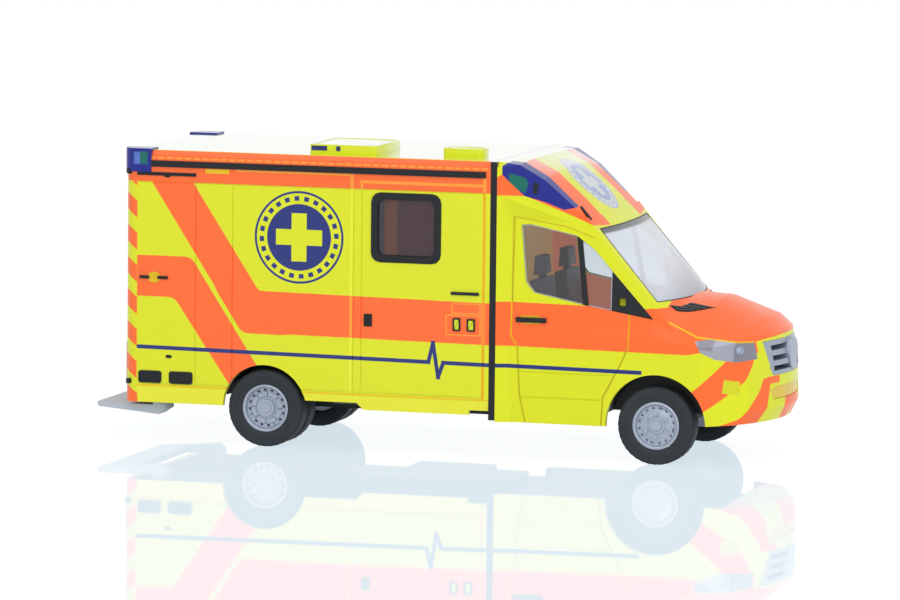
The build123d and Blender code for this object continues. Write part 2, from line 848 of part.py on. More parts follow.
def rear_strip():
    """The short black strip below the left corner lamp."""
    z = ROOF_Z - CORNER_LAMP_H - STRIP_H
    x = -BOX_REAR + BOX_CORNER
    return block((x, x + STRIP_L), (BOX_HALF, BOX_HALF + RAIL_PROUD / 2), (z, z + STRIP_H))


# Columns: name, limits on the box length, limits on the half width, height
ROOF_HATCHES = (
    ("large", (0.489, 0.672), (-0.8, -0.04), 1.0),
    ("small", (0.83, 0.94), (-0.55, -0.325), 0.8),
)


def roof_hatch(length_shares, width_shares, height):
    """A flat hatch on the roof."""
    x = [along_box(share) for share in length_shares]
    y = [share * BOX_HALF for share in width_shares]
    face = soft_rectangle(x[1] - x[0], y[1] - y[0], HATCH_CORNER)
    return plan_prism(Pos(sum(x) / 2, sum(y) / 2) * face, ROOF_Z, ROOF_Z + height)


def tail_lamp():
    """The left tail lamp on the rear wall."""
    outer = BOX_HALF - TAIL_LAMP_IN
    return block(
        (-BOX_REAR - TAIL_LAMP_T, -BOX_REAR),
        (outer - TAIL_LAMP_W, outer),
        (TAIL_LAMP_Z, TAIL_LAMP_Z + TAIL_LAMP_H),
    )


def rear_step():
    """The rear step: a sloping tread with two arms that hang from the floor."""
    half = BOX_HALF - STEP_IN
    front_x = TAIL_X + STEP_L
    foot_z = STEP_TOP_Z - STEP_LIP
    profile = outline(
        (TAIL_X, STEP_TOP_Z),
        (TAIL_X, foot_z),
        (front_x - STEP_CORNER, foot_z - STEP_SLOPE),
        (front_x, foot_z),
        (front_x, STEP_TOP_Z),
    )
    sheet = Pos((TAIL_X + front_x) / 2, 0) * RectangleRounded(STEP_L, 2 * half, STEP_CORNER)
    inner = half - STEP_ARM
    gap = block((TAIL_X + STEP_TREAD, LONG), (-inner, inner), (0, TALL))
    body = (side_prism(profile) & plan_prism(sheet)) - gap
    post = block((front_x - STEP_POST, front_x), (inner, half), (foot_z, FLOOR_Z)) & plan_prism(sheet)
    return body + post + on_right(post)


# Inside the cab


# Columns: share of the seat's length from the rear, share of the height of the back
SEAT_BACK = ((0.16, 0.34), (0.42, 0.37), (0.26, 1.0), (0.06, 0.98))
SEAT_NECK = ((0.13, 0.96), (0.21, 0.96), (0.21, 1.04), (0.13, 1.04))
SEAT_REST = ((0.08, 1.02), (0.26, 1.03), (0.23, 1.18), (0.1, 1.18))


def seat(side):
    """One cab seat with its back and head rest."""
    x = CAB_REAR_X + SEAT_X
    y = side * SEAT_Y
    front = x + SEAT_L
    sides = (y - SEAT_W / 2, y + SEAT_W / 2)
    body = block((x + SEAT_L / 6, front), sides, (FLOOR_TOP, FLOOR_TOP + CUSHION_H))
    for shape, width in ((SEAT_BACK, SEAT_W), (SEAT_NECK, REST_W / 2), (SEAT_REST, REST_W)):
        face = outline(*[(x + along * SEAT_L, FLOOR_TOP + up * BACK_H) for along, up in shape])
        body += side_prism(face) & block((x, front), (y - width / 2, y + width / 2), (0, TALL))
    return body


def dashboard():
    """The dashboard across the cab, up to the foot of the windscreen."""
    front = FRONT_X + CABIN_L
    knee = front - DASH_L
    foot = HOUSING_TOP_Z + FIT
    brow = DASH_Z - DASH_BROW
    face = outline(
        (front, brow),
        (front, foot),
        (knee, foot),
        (knee - DASH_OVERHANG, (foot + brow) / 2),
        (knee - DASH_OVERHANG, brow),
        (knee, DASH_Z),
    )
    return side_prism(face) & cab_hollow(CAB_WALL + FIT)


def steering_wheel():
    """The steering wheel on its column, on the left."""
    edge = WHEEL_RIM_T
    rim = RegularPolygon(WHEEL_RIM_R + edge, WHEEL_SIDES) - RegularPolygon(WHEEL_RIM_R - edge, WHEEL_SIDES)
    ring = extrude(rim, edge, both=True)
    spokes = Box(2 * WHEEL_RIM_R, 2 * edge, edge) + Box(2 * edge, 2 * WHEEL_RIM_R, edge)
    column = extrude(RegularPolygon(COLUMN_R, PIPE_SIDES), -COLUMN_L)
    spot = Pos(FRONT_X - WHEEL_BACK, SEAT_Y, DASH_Z - DASH_BROW) * Rot(0, -WHEEL_TILT, 0)
    wheel = spot * (ring + spokes + column)
    return wheel - dashboard()


# Underside


def axle_block(x):
    """A block with a slot, open below, that the axle pin clips into."""
    half = AXLE_BLOCK_L / 2
    slot = PIN_R + AXLE_PLAY
    body = block((x - half, x + half), (-KEEL_HALF, KEEL_HALF), (KEEL_Z, FLOOR_Z))
    body -= block((x - slot, x + slot), (-WIDE, WIDE), (0, TYRE_R))
    return body - drum(x, TYRE_R, slot, -WIDE, WIDE)


def wheel_housing(x, radius, y_in):
    """A housing over a left wheel, before the wheel is cut out of it."""
    outer = radius + HOUSING_WALL
    return block((x - outer, x + outer), (y_in - HOUSING_WALL, FLOOR_HALF), (FLOOR_Z, TYRE_R + outer))


def chassis():
    """The black base: floor, wheel housings, keel, axle clips, tank and exhaust."""
    rear = -BOX_REAR + BOX_WALL + FIT
    front = FRONT_X + BAY_L - FIT
    body = block((rear, front), (-FLOOR_HALF, FLOOR_HALF), (FLOOR_Z, FLOOR_TOP))
    axles = (
        (0, REAR_ARCH_R, INNER_FACE_Y - TYRE_W - WHEEL_ROOM),
        (FRONT_X, FRONT_ARCH_R, FRONT_FACE_Y - TYRE_W - WHEEL_ROOM),
    )
    for x, radius, y_in in axles:
        well = drum(x, TYRE_R, radius, y_in, WIDE)
        housing = wheel_housing(x, radius, y_in) - well
        for piece, wheel_space in ((housing, well), (on_right(housing), on_right(well))):
            body -= wheel_space
            body += piece
        body += axle_block(x)
    body += block((AXLE_BLOCK_L, BOX_FRONT), (-KEEL_HALF, KEEL_HALF), (KEEL_Z, FLOOR_Z))
    tank_x = (STEP_SKIRT_X, STEP_SKIRT_X + TANK_L)
    body += block(tank_x, (KEEL_HALF + TANK_GAP, FLOOR_HALF - TANK_GAP), (TANK_Z, FLOOR_Z))
    pipe = Pos(-PIPE_Y, FLOOR_Z - PIPE_R / 2) * RegularPolygon(PIPE_R, PIPE_SIDES)
    body += front_prism(pipe, STEP_SKIRT_X - REAR_ARCH_R, BOX_FRONT)
    inside = plan_prism(cab_plan(CAB_WALL + FIT)) + block((rear, CAB_REAR_X), (-WIDE, WIDE), (0, TALL))
    return body & inside


# Wheels


def tyre():
    """A tyre about its own axis, with its outer face at zero and a square back."""
    face = outline(
        (RIM_R, 0),
        (TYRE_R - TYRE_SHOULDER, 0),
        (TYRE_R, -TYRE_SHOULDER),
        (TYRE_R, -TYRE_W),
        (RIM_R, -TYRE_W),
    )
    return revolve(Plane.XZ * face, Axis.Z)


def rim_bore():
    """The hole that a rim is pushed on its pin by, flat-sided so that it grips."""
    return extrude(RegularPolygon(PIN_R + FIT, BORE_SIDES, major_radius=False), WIDE, both=True)


def rim_blank(dish):
    """A wheel rim about its own axis: a lip, a dished web and a raised hub."""
    lip = RIM_R - FIT
    face = outline(
        (0, -dish),
        (lip - RIM_LIP, -dish),
        (lip, -RIM_SINK),
        (lip, -TYRE_W + RIM_SINK),
        (0, -TYRE_W + RIM_SINK),
    )
    hub = Pos(0, 0, -dish) * extrude(RegularPolygon(HUB_R, HUB_SIDES), HUB_RISE)
    return revolve(Plane.XZ * face, Axis.Z) + hub - rim_bore()


def inner_rim():
    """The plain disc in the inner tyre of a twin wheel."""
    disc = Pos(0, 0, -TYRE_W / 2) * Cylinder(RIM_R - FIT, TYRE_W - 2 * REAR_DISH)
    return disc - rim_bore()


def front_rim():
    """A front rim with its ring of wheel nuts."""
    body = rim_blank(FRONT_DISH)
    nut = extrude(RegularPolygon(WHEEL_NUT_R, 6), NUT_H)
    for spot in PolarLocations(RIM_RING_R, WHEEL_NUTS):
        body += spot * Pos(0, 0, -FRONT_DISH) * nut
    return body


def rear_rim():
    """A deep rear rim with its ring of holes."""
    body = rim_blank(REAR_DISH)
    hole = extrude(RegularPolygon(RIM_HOLE_R, 4), TYRE_W, both=True)
    for spot in PolarLocations(RIM_RING_R, RIM_HOLES):
        body -= spot * hole
    return body


def axle_pin(x, face_y):
    """The pin that carries the wheels of an axle."""
    return drum(x, TYRE_R, PIN_R, -face_y + PIN_SINK, face_y - PIN_SINK)


def keep_wheel(name, x, face_y, rim_piece):
    """Write the left and right tyre and rim of one place on an axle."""
    place = Pos(x, face_y, TYRE_R) * Rot(-90, 0, 0)
    keep_pair(f"{name}_tyre", place * tyre())
    keep_pair(f"{name}_rim", place * rim_piece)


keep("box_shell", box_shell())
keep("window_frame", window_frame())
keep("window_pane", window_pane())
for side, side_name in ((1, "left"), (-1, "right")):
    keep(f"rear_pane_{side_name}", rear_pane(side))
    keep(f"seat_{side_name}", seat(side))
keep("seam_gasket", seam_gasket())
keep("partition", partition())
keep("cab_shell", cab_shell())
keep("windscreen", windscreen())
keep_pair("door_glass", door_glass())
keep_pair("mirror_base", mirror_base())
keep_pair("window_bar", window_bar())
keep_pair("headlamp", headlamp())
keep_pair("roof_beacon", roof_beacon())
keep("grille", grille())
keep("plate_panel", plate_panel())
keep_pair("gutter_rail", gutter_rail())
keep_pair("rear_strip", rear_strip())
keep_pair("rear_beacon", corner_lamp())
keep_pair("tail_lamp", tail_lamp())
for hatch, *sizes in ROOF_HATCHES:
    keep(f"roof_hatch_{hatch}", roof_hatch(*sizes))
keep("rear_step", rear_step())
keep("dashboard", dashboard())
keep("steering_wheel", steering_wheel())
keep("chassis", chassis())
keep_wheel("front", FRONT_X, FRONT_FACE_Y, front_rim())
keep_wheel("rear_outer", 0, REAR_FACE_Y, rear_rim())
keep_wheel("rear_inner", 0, INNER_FACE_Y, inner_rim())
keep("front_axle_pin", axle_pin(FRONT_X, FRONT_FACE_Y))
keep("rear_axle_pin", axle_pin(0, REAR_FACE_Y))
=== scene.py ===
"""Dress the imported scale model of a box-bodied ambulance and stand it in a white studio.

Places and sizes are in millimetres from the rear axle: X forward, Y to the left, Z up from the floor.
"""
import logging
import math
from contextlib import contextmanager
from dataclasses import dataclass
from enum import Enum
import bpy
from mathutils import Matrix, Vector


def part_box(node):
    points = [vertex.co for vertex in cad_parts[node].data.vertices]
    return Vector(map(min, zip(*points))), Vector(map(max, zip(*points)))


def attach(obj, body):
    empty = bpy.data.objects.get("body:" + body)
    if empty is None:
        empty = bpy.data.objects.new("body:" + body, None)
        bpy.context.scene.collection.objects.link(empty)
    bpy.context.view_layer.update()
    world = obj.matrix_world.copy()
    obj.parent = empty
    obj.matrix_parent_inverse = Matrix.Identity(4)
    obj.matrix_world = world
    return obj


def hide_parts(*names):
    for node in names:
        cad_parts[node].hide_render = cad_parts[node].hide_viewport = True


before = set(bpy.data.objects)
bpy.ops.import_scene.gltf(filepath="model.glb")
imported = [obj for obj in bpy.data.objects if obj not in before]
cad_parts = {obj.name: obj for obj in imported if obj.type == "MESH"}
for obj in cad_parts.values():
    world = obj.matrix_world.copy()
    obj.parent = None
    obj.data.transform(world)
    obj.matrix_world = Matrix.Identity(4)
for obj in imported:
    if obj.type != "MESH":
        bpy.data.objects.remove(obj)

from fnmatch import fnmatchcase
from typing import Callable, Iterator, Optional, Sequence, Union

import bmesh
import bpy
from mathutils import Matrix, Vector

LOG = logging.getLogger("ambulance")
MM = 0.001
ORIGIN_X = 17.4
LAMP_SIDE = 7.0
PANE_SIDE = 10.2
ROOF_GLARE = (30.5, 0.2)
Point = tuple[float, float]
Place = tuple[float, float, float]
Colour = tuple[float, float, float, float]


class Body(Enum):
    """The moving bodies of the model."""

    MODEL = "model"
    FRONT_AXLE = "front_axle"
    REAR_AXLE = "rear_axle"


class Side(Enum):
    """A side of the model, as the sign of Y."""

    LEFT = 1.0
    RIGHT = -1.0


class Tint(Enum):
    """The colours of the print and of the mouldings, and of painted shade, highlight and glow, as red, green
    and blue on screen.
    """

    YELLOW = (222, 230, 40)
    ORANGE = (255, 112, 54)
    BLUE = (42, 54, 124)
    # also the amber of painted shade in the box crease and in the handle dishes
    AMBER = (240, 196, 30)
    BLACK = (34, 38, 42)
    RUBBER = (44, 51, 58)
    SILVER = (168, 179, 197)
    STEEL = (150, 152, 156)
    # also the pale edge round the door glass: painted highlight
    GREY = (184, 195, 206)
    # light orange: the printed dashes, and painted highlight on raised lines over the orange
    DASH = (255, 158, 62)
    # painted highlight: the blue of the cab badge, lightened as if under glare
    FADED = (158, 170, 210)
    DISC = (206, 212, 212)
    # painted shade: a brown for the cab's yellow inner faces in shade, also the colour of their painted glow
    INSIDE = (215, 130, 105)
    # a lighter yellow: unprinted grooves, and painted highlight on the skirt and on raised lines
    BRIGHT = (236, 238, 58)
    OLIVE = (200, 186, 36)
    HAZE = (212, 214, 44)
    DUSK = (128, 127, 141)
    MAUVE = (92, 64, 68)
    # painted reflection: the windscreen's pale colour, shown as a half-diffuse sheet
    SCREEN = (240, 246, 255)
    SKY = (104, 140, 232)
    SEAT = (84, 87, 98)
    TAN = (205, 165, 110)
    LENS = (30, 44, 168)
    TEAL = (20, 128, 112)
    RED = (178, 26, 22)
    TINTED = (122, 82, 70)
    CLEAR = (238, 243, 247)
    # also the grey of the windscreen's painted shade
    LAMP = (158, 163, 176)
    # also the dark grey of painted shade on the floors of the wheel pockets
    SMOKE = (70, 74, 80)
    # painted shade: a deeper gold for the yellow plastic of the recessed panel under the grille
    PLATE = (238, 204, 36)

    def linear(self) -> Colour:
        """Return the colour as linear red, green, blue and alpha.

        Returns:
            The four numbers.
        """
        parts = []
        for level in self.value:
            share = level / 255
            parts.append(share / 12.92 if share <= 0.04045 else ((share + 0.055) / 1.055) ** 2.4)
        return (*parts, 1.0)


def at(x: float, y: float, z: float) -> Vector:
    """Turn a place in millimetres from the rear axle into metres in the shared frame."""
    return Vector(((x - ORIGIN_X) * MM, y * MM, z * MM))


# Shader fields


@dataclass
class Value:
    """A number that changes over the surface, as the output of a shader node."""

    graph: "Graph"
    socket: bpy.types.NodeSocket

    def __add__(self, other: "Number") -> "Value":
        """Return the sum."""
        return self.graph.math("ADD", self, other)

    def __sub__(self, other: "Number") -> "Value":
        """Return the difference."""
        return self.graph.math("SUBTRACT", self, other)

    def __rsub__(self, other: "Number") -> "Value":
        """Return the difference, the other way round."""
        return self.graph.math("SUBTRACT", other, self)

    def __mul__(self, other: "Number") -> "Value":
        """Return the product."""
        return self.graph.math("MULTIPLY", self, other)

    def size(self) -> "Value":
        """Return the value without its sign."""
        return self.graph.math("ABSOLUTE", self)


Number = Union[Value, float]


class Graph:
    """A shader node tree that is written as sums, lines and shapes."""

    def __init__(self, tree: bpy.types.NodeTree) -> None:
        """Keep the tree that the nodes go into."""
        self.tree = tree

    def node(self, kind: str, **settings: object) -> bpy.types.Node:
        """Add a node.

        Args:
            kind: The node's type name.
            settings: Properties to set on it.
        Returns:
            The new node.
        """
        node = self.tree.nodes.new(kind)
        for name, value in settings.items():
            setattr(node, name, value)
        return node

    def feed(self, socket: bpy.types.NodeSocket, value: Union[Number, bpy.types.NodeSocket, Colour]) -> None:
        """Set a socket to a constant, or link it to a value.

        Args:
            socket: The socket.
            value: The constant, or what is linked.
        """
        if isinstance(value, Value):
            value = value.socket
        if isinstance(value, bpy.types.NodeSocket):
            self.tree.links.new(value, socket)
        else:
            socket.default_value = value

    def math(self, operation: str, *terms: Number) -> Value:
        """Return the result of a math operation on up to three terms.

        Args:
            operation: Blender's name of it.
            terms: Values or numbers.
        Returns:
            The result.
        """
        node = self.node("ShaderNodeMath", operation=operation)
        for socket, term in zip(node.inputs, terms):
            self.feed(socket, term)
        return Value(self, node.outputs[0])

    def _fold(self, sharp: str, smooth: str, values: Sequence[Value], rounding: float) -> Value:
        """Join values one after another.

        Args:
            sharp: The operation.
            smooth: Its smooth form, for rounded corners.
            values: What to join.
            rounding: Size of the rounding, or nothing.
        Returns:
            The joined value.
        """
        result = values[0]
        for other in values[1:]:
            terms = (smooth, result, other, rounding) if rounding else (sharp, result, other)
            result = self.math(*terms)
        return result

    def lowest(self, values: Sequence[Value], rounding: float = 0.0) -> Value:
        """Return the lowest of some values: the overlap of shapes, its corners rounded."""
        return self._fold("MINIMUM", "SMOOTH_MIN", values, rounding)

    def highest(self, values: Sequence[Value], rounding: float = 0.0) -> Value:
        """Return the highest of some values: shapes joined, their inner corners rounded."""
        return self._fold("MAXIMUM", "SMOOTH_MAX", values, rounding)

    def beside(self, u: Value, v: Value, start: Point, end: Point) -> Value:
        """Return the distance to the left of the line from one point to another.

        Args:
            u: Place along the first direction.
            v: Place along the second.
            start: First point.
            end: Second point.
        Returns:
            The distance, below nothing on the right.
        """
        run, rise = end[0] - start[0], end[1] - start[1]
        length = math.hypot(run, rise)
        across, up = -rise / length, run / length
        partial = self.math("MULTIPLY_ADD", u, across, -(start[0] * across + start[1] * up))
        return self.math("MULTIPLY_ADD", v, up, partial)

    def band(self, value: Value, low: float, high: float) -> Value:
        """Return how far a value lies inside a pair of limits."""
        return (high - low) / 2 - (value - (high + low) / 2).size()

    def pane(self, u: Value, v: Value, across: Point, up: Point, rounding: float = 0.0) -> Value:
        """Return how far a place lies inside an upright rectangle."""
        return self.lowest([self.band(u, *across), self.band(v, *up)], rounding)

    def shape(self, u: Value, v: Value, points: Sequence[Point]) -> Value:
        """Return how far a place lies inside a convex outline, drawn anticlockwise."""
        ends = list(points[1:]) + [points[0]]
        return self.lowest([self.beside(u, v, a, b) for a, b in zip(points, ends)])

    def stroke(self, u: Value, v: Value, start: Point, end: Point, width: float) -> Value:
        """Return how far a place lies inside a thick straight line.

        Args:
            u: Place along the first direction.
            v: Place along the second.
            start: One end.
            end: The other end.
            width: Its width.
        Returns:
            The depth, below nothing outside.
        """
        length = math.dist(start, end)
        away = self.beside(u, v, start, end).size()
        normal = (start[0] - (end[1] - start[1]), start[1] + (end[0] - start[0]))
        along = self.beside(u, v, normal, start)
        return self.lowest([width / 2 - away, self.band(along, -width / 2, length + width / 2)])

    def mask(self, depth: Value, soft: float = 0.04) -> Value:
        """Return one inside a shape and nothing outside, with a soft edge.

        Args:
            depth: How far a place lies inside.
            soft: Width of the edge.
        Returns:
            The mask.
        """
        node = self.node("ShaderNodeMath", operation="MULTIPLY_ADD", use_clamp=True)
        self.feed(node.inputs[0], depth)
        node.inputs[1].default_value = 1 / soft
        node.inputs[2].default_value = 0.5
        return Value(self, node.outputs[0])

    def blend(self, mask: Number, under: object, over: object) -> bpy.types.NodeSocket:
        """Return one colour laid over another where a mask is one.

        Args:
            mask: Where the upper colour shows.
            under: The lower colour.
            over: The upper colour.
        Returns:
            The blended colour.
        """
        node = self.node("ShaderNodeMix", data_type="RGBA")
        self.feed(node.inputs["Factor"], mask)
        self.feed(node.inputs[6], under)
        self.feed(node.inputs[7], over)
        return node.outputs[2]

    def mix(self, share: Number, under: bpy.types.Node, over: bpy.types.Node) -> bpy.types.Node:
        """Return one shader mixed over another by a share.

        Args:
            share: The upper shader's share.
            under: The lower shader.
            over: The upper shader.
        Returns:
            The mixing node.
        """
        node = self.node("ShaderNodeMixShader")
        self.feed(node.inputs[0], share)
        self.feed(node.inputs[1], under.outputs[0])
        self.feed(node.inputs[2], over.outputs[0])
        return node

    def show(self, shader: bpy.types.Node) -> None:
        """Make a shader the surface of the material."""
        self.feed(self.tree.nodes["Material Output"].inputs["Surface"], shader.outputs[0])

    def seen_rays(self) -> Value:
        """Return one on rays of the camera, of gloss and of glass, and nothing on the others.

        Returns:
            The value.
        """
        rays = self.node("ShaderNodeLightPath")
        kinds = ("Is Camera Ray", "Is Glossy Ray", "Is Transmission Ray")
        return self.highest([Value(self, rays.outputs[kind]) for kind in kinds])

    def noise(self, vector: bpy.types.NodeSocket, scale: float, detail: float = 2.0) -> Value:
        """Return a noise about a half, at a scale in turns per unit.

        Args:
            vector: The place.
            scale: Turns per unit.
            detail: Steps of finer noise.
        Returns:
            The noise.
        """
        node = self.node("ShaderNodeTexNoise")
        self.feed(node.inputs["Vector"], vector)
        node.inputs["Scale"].default_value = scale
        node.inputs["Detail"].default_value = detail
        return Value(self, node.outputs["Fac"])


class SharedEffects:
    """Node groups that more than one finish uses."""

    def __init__(self) -> None:
        """Build the groups once."""
        self.places = self._places()
        self.moulding = self._moulding()

    @staticmethod
    def _group(name: str, inputs: Sequence[tuple[str, float]], outputs: Sequence[str]) -> bpy.types.NodeTree:
        """Make an empty group with number sockets.

        Args:
            name: The group's name.
            inputs: Names and default values of the inputs.
            outputs: Names of the outputs.
        Returns:
            The group.
        """
        group = bpy.data.node_groups.new(name, "ShaderNodeTree")
        for socket, default in inputs:
            made = group.interface.new_socket(socket, in_out="INPUT", socket_type="NodeSocketFloat")
            made.default_value = default
        for socket in outputs:
            group.interface.new_socket(socket, in_out="OUTPUT", socket_type="NodeSocketFloat")
        return group

    def _places(self) -> bpy.types.NodeTree:
        """Build the group that gives the place on the model in millimetres, with a print's ragged edge.

        Returns:
            The group.
        """
        group = self._group("places_in_millimetres", (("Ragged", 0.03),), ("Along", "Across", "Up"))
        graph = Graph(group)
        entry = graph.node("NodeGroupInput")
        leave = graph.node("NodeGroupOutput")
        here = graph.node("ShaderNodeTexCoord").outputs["Object"]
        scaled = graph.node("ShaderNodeVectorMath", operation="MULTIPLY_ADD")
        graph.feed(scaled.inputs[0], here)
        scaled.inputs[1].default_value = (1 / MM,) * 3
        scaled.inputs[2].default_value = (ORIGIN_X, 0, 0)
        split = graph.node("ShaderNodeSeparateXYZ")
        graph.feed(split.inputs[0], scaled.outputs[0])
        wander = graph.node("ShaderNodeTexNoise")
        graph.feed(wander.inputs["Vector"], scaled.outputs[0])
        wander.inputs["Scale"].default_value = 2.2
        shifts = graph.node("ShaderNodeSeparateXYZ")
        graph.feed(shifts.inputs[0], wander.outputs["Color"])
        ragged = Value(graph, entry.outputs["Ragged"])
        for index, name in ((0, "Along"), (2, "Up")):
            moved = (Value(graph, shifts.outputs[index]) - 0.5) * ragged
            graph.feed(leave.inputs[name], Value(graph, split.outputs[index]) + moved)
        graph.feed(leave.inputs["Across"], Value(graph, split.outputs[1]))
        return group

    def _moulding(self) -> bpy.types.NodeTree:
        """Build the group that gives the fine grain and slow unevenness of a moulded surface.

        Returns:
            The group.
        """
        inputs = (("Grain", 0.5), ("Rough", 0.3), ("Spread", 0.08))
        group = self._group("moulded_grain", inputs, ("Height", "Roughness"))
        graph = Graph(group)
        entry = graph.node("NodeGroupInput")
        leave = graph.node("NodeGroupOutput")
        here = graph.node("ShaderNodeTexCoord").outputs["Object"]
        fine = graph.noise(here, 9000.0, 3.0)
        slow = graph.noise(here, 180.0, 2.0)
        smudge = graph.noise(here, 420.0, 4.0)
        height = fine * Value(graph, entry.outputs["Grain"]) + slow * 0.6
        graph.feed(leave.inputs["Height"], height)
        rough = Value(graph, entry.outputs["Rough"]) + (smudge - 0.5) * Value(graph, entry.outputs["Spread"])
        graph.feed(leave.inputs["Roughness"], rough)
        return group


# Finishes


Inlay = tuple[tuple[Point, ...], Tint]


@dataclass(frozen=True)
class Plastic:
    """A moulded or printed plastic of one colour, with an optional painted glow."""

    name: str
    tint: Tint
    rough: float = 0.35
    grain: float = 0.4
    bump: float = 0.08
    coat: float = 0.0
    metal: float = 0.0
    soil: float = 0.12
    shine: float = 0.3
    glare: bool = False
    painted_glow: float = 0.0
    inlays: tuple[Inlay, ...] = ()

    def make(self, effects: SharedEffects) -> bpy.types.Material:
        """Build the material.

        Args:
            effects: The shared node groups.
        Returns:
            The material.
        """
        material, graph, shader = new_material(self.name)
        base = self.tint.linear()
        darker = tuple(part * (1 - self.soil) for part in base[:3]) + (1.0,)
        here = graph.node("ShaderNodeTexCoord").outputs["Object"]
        patches = graph.noise(here, 260.0, 5.0)
        colour = lay_inlays(graph, effects, graph.blend(patches, base, darker), self.inlays, LAMP_SIDE)
        graph.feed(shader.inputs["Base Color"], colour)
        # painted light: the part glows in its own colour, though it is no lamp
        if self.painted_glow:
            graph.feed(shader.inputs["Emission Color"], colour)
            shader.inputs["Emission Strength"].default_value = self.painted_glow
        shader.inputs["Metallic"].default_value = self.metal
        shader.inputs["Specular IOR Level"].default_value = self.shine
        shader.inputs["Coat Weight"].default_value = self.coat
        shader.inputs["Coat Roughness"].default_value = 0.08
        add_moulding(graph, shader, effects, self.grain, self.rough, self.bump)
        if self.glare:
            _, _, up = model_places(graph, effects, 0.0)
            add_glare(graph, shader, up, *ROOF_GLARE)
        return material


@dataclass(frozen=True)
class Glass:
    """A clear or tinted pane that lets light in, with an optional darker band, an optional painted shade below
    a line, and inner pieces.
    """

    name: str
    tint: Tint
    rough: float = 0.03
    ior: float = 1.45
    clear: float = 1.0
    band_above: Optional[float] = None
    shade: Optional[tuple[Point, Point]] = None
    inlays: tuple[Inlay, ...] = ()

    def make(self, effects: SharedEffects) -> bpy.types.Material:
        """Build the material.

        Args:
            effects: The shared node groups.
        Returns:
            The material.
        """
        material, graph, shader = new_material(self.name)
        shader.inputs["Transmission Weight"].default_value = self.clear
        shader.inputs["IOR"].default_value = self.ior
        base = self.tint.linear()
        _, across, up = model_places(graph, effects, 0.0)
        uneven = graph.noise(graph.node("ShaderNodeTexCoord").outputs["Object"], 140.0)
        colour = graph.blend(uneven * 0.2, base, Tint.SMOKE.linear())
        if self.band_above is not None:
            colour = graph.blend(graph.mask(up - self.band_above, 0.15), colour, Tint.SMOKE.linear())
        # painted shade: the pane turns grey below a line across it
        if self.shade is not None:
            below = graph.mask(graph.beside(across, up, *self.shade) * -1.0, 3.0)
            colour = graph.blend(below * 0.8, colour, Tint.LAMP.linear())
        graph.feed(shader.inputs["Base Color"], lay_inlays(graph, effects, colour, self.inlays, PANE_SIDE))
        add_moulding(graph, shader, effects, 0.05, self.rough, 0.01)
        passing = graph.node("ShaderNodeBsdfTransparent")
        passing.inputs["Color"].default_value = base
        rays = graph.node("ShaderNodeLightPath")
        graph.show(graph.mix(Value(graph, rays.outputs["Is Shadow Ray"]), shader, passing))
        return material


def new_material(name: str) -> tuple[bpy.types.Material, Graph, bpy.types.Node]:
    """Make a material and return it with its graph and its shader.

    Args:
        name: Its name.
    Returns:
        The material, its graph and its shader.
    """
    material = bpy.data.materials.new(name)
    material.use_nodes = True
    graph = Graph(material.node_tree)
    return material, graph, material.node_tree.nodes["Principled BSDF"]


def add_moulding(
    graph: Graph, shader: bpy.types.Node, effects: SharedEffects, grain: float, rough: float, bump: float
) -> None:
    """Give a shader the grain and uneven gloss of a moulding.

    Args:
        graph: The material's graph.
        shader: Its Principled shader.
        effects: The shared node groups.
        grain: Strength of the fine grain.
        rough: Mean roughness.
        bump: Strength of the bump.
    """
    moulding = graph.node("ShaderNodeGroup", node_tree=effects.moulding)
    moulding.inputs["Grain"].default_value = grain
    moulding.inputs["Rough"].default_value = rough
    moulding.inputs["Spread"].default_value = rough * 0.4
    graph.feed(shader.inputs["Roughness"], moulding.outputs["Roughness"])
    relief = graph.node("ShaderNodeBump")
    relief.inputs["Strength"].default_value = bump
    relief.inputs["Distance"].default_value = 0.05 * MM
    graph.feed(relief.inputs["Height"], moulding.outputs["Height"])
    graph.feed(shader.inputs["Normal"], relief.outputs["Normal"])


def lay_inlays(
    graph: Graph, effects: SharedEffects, colour: object, inlays: Sequence[Inlay], beyond: float
) -> object:
    """Lay the colours of inner pieces over a lens or pane, on its sides only.

    Args:
        graph: The material's graph.
        effects: The shared node groups.
        colour: The colour below.
        inlays: Outlines along and up the model, with their colours.
        beyond: How far from the middle the sides start.
    Returns:
        The colour with the inlays.
    """
    if inlays:
        along, across, up = model_places(graph, effects, 0.0)
        for points, tint in inlays:
            inside = graph.lowest([graph.shape(along, up, points), across.size() - beyond])
            colour = graph.blend(graph.mask(inside, 0.2), colour, tint.linear())
    return colour


def add_glare(graph: Graph, shader: bpy.types.Node, up: Value, height: float, soft: float) -> None:
    """Let gloss faces above a height mirror the white surround when seen at a flat angle.

    Args:
        graph: The material's graph.
        shader: Its Principled shader.
        up: The height on the model.
        height: Where the glare starts.
        soft: How softly it starts.
    """
    facing = Value(graph, graph.node("ShaderNodeLayerWeight").outputs["Facing"])
    share = graph.mask(facing - 0.8, 0.25) * graph.mask(up - height, soft) * 0.93
    gloss = graph.node("ShaderNodeBsdfGlossy")
    gloss.inputs["Color"].default_value = (0.97, 0.985, 1.0, 1.0)
    gloss.inputs["Roughness"].default_value = 0.1
    graph.show(graph.mix(share, shader, gloss))


def model_places(graph: Graph, effects: SharedEffects, ragged: float = 0.03) -> tuple[Value, Value, Value]:
    """Return the places along, across and up the model, in millimetres.

    Args:
        graph: The material's graph.
        effects: The shared groups.
        ragged: How far the edges of the print wander.
    Returns:
        The three places.
    """
    places = graph.node("ShaderNodeGroup", node_tree=effects.places)
    places.inputs["Ragged"].default_value = ragged
    along, across, up = (Value(graph, places.outputs[name]) for name in ("Along", "Across", "Up"))
    return along, across, up


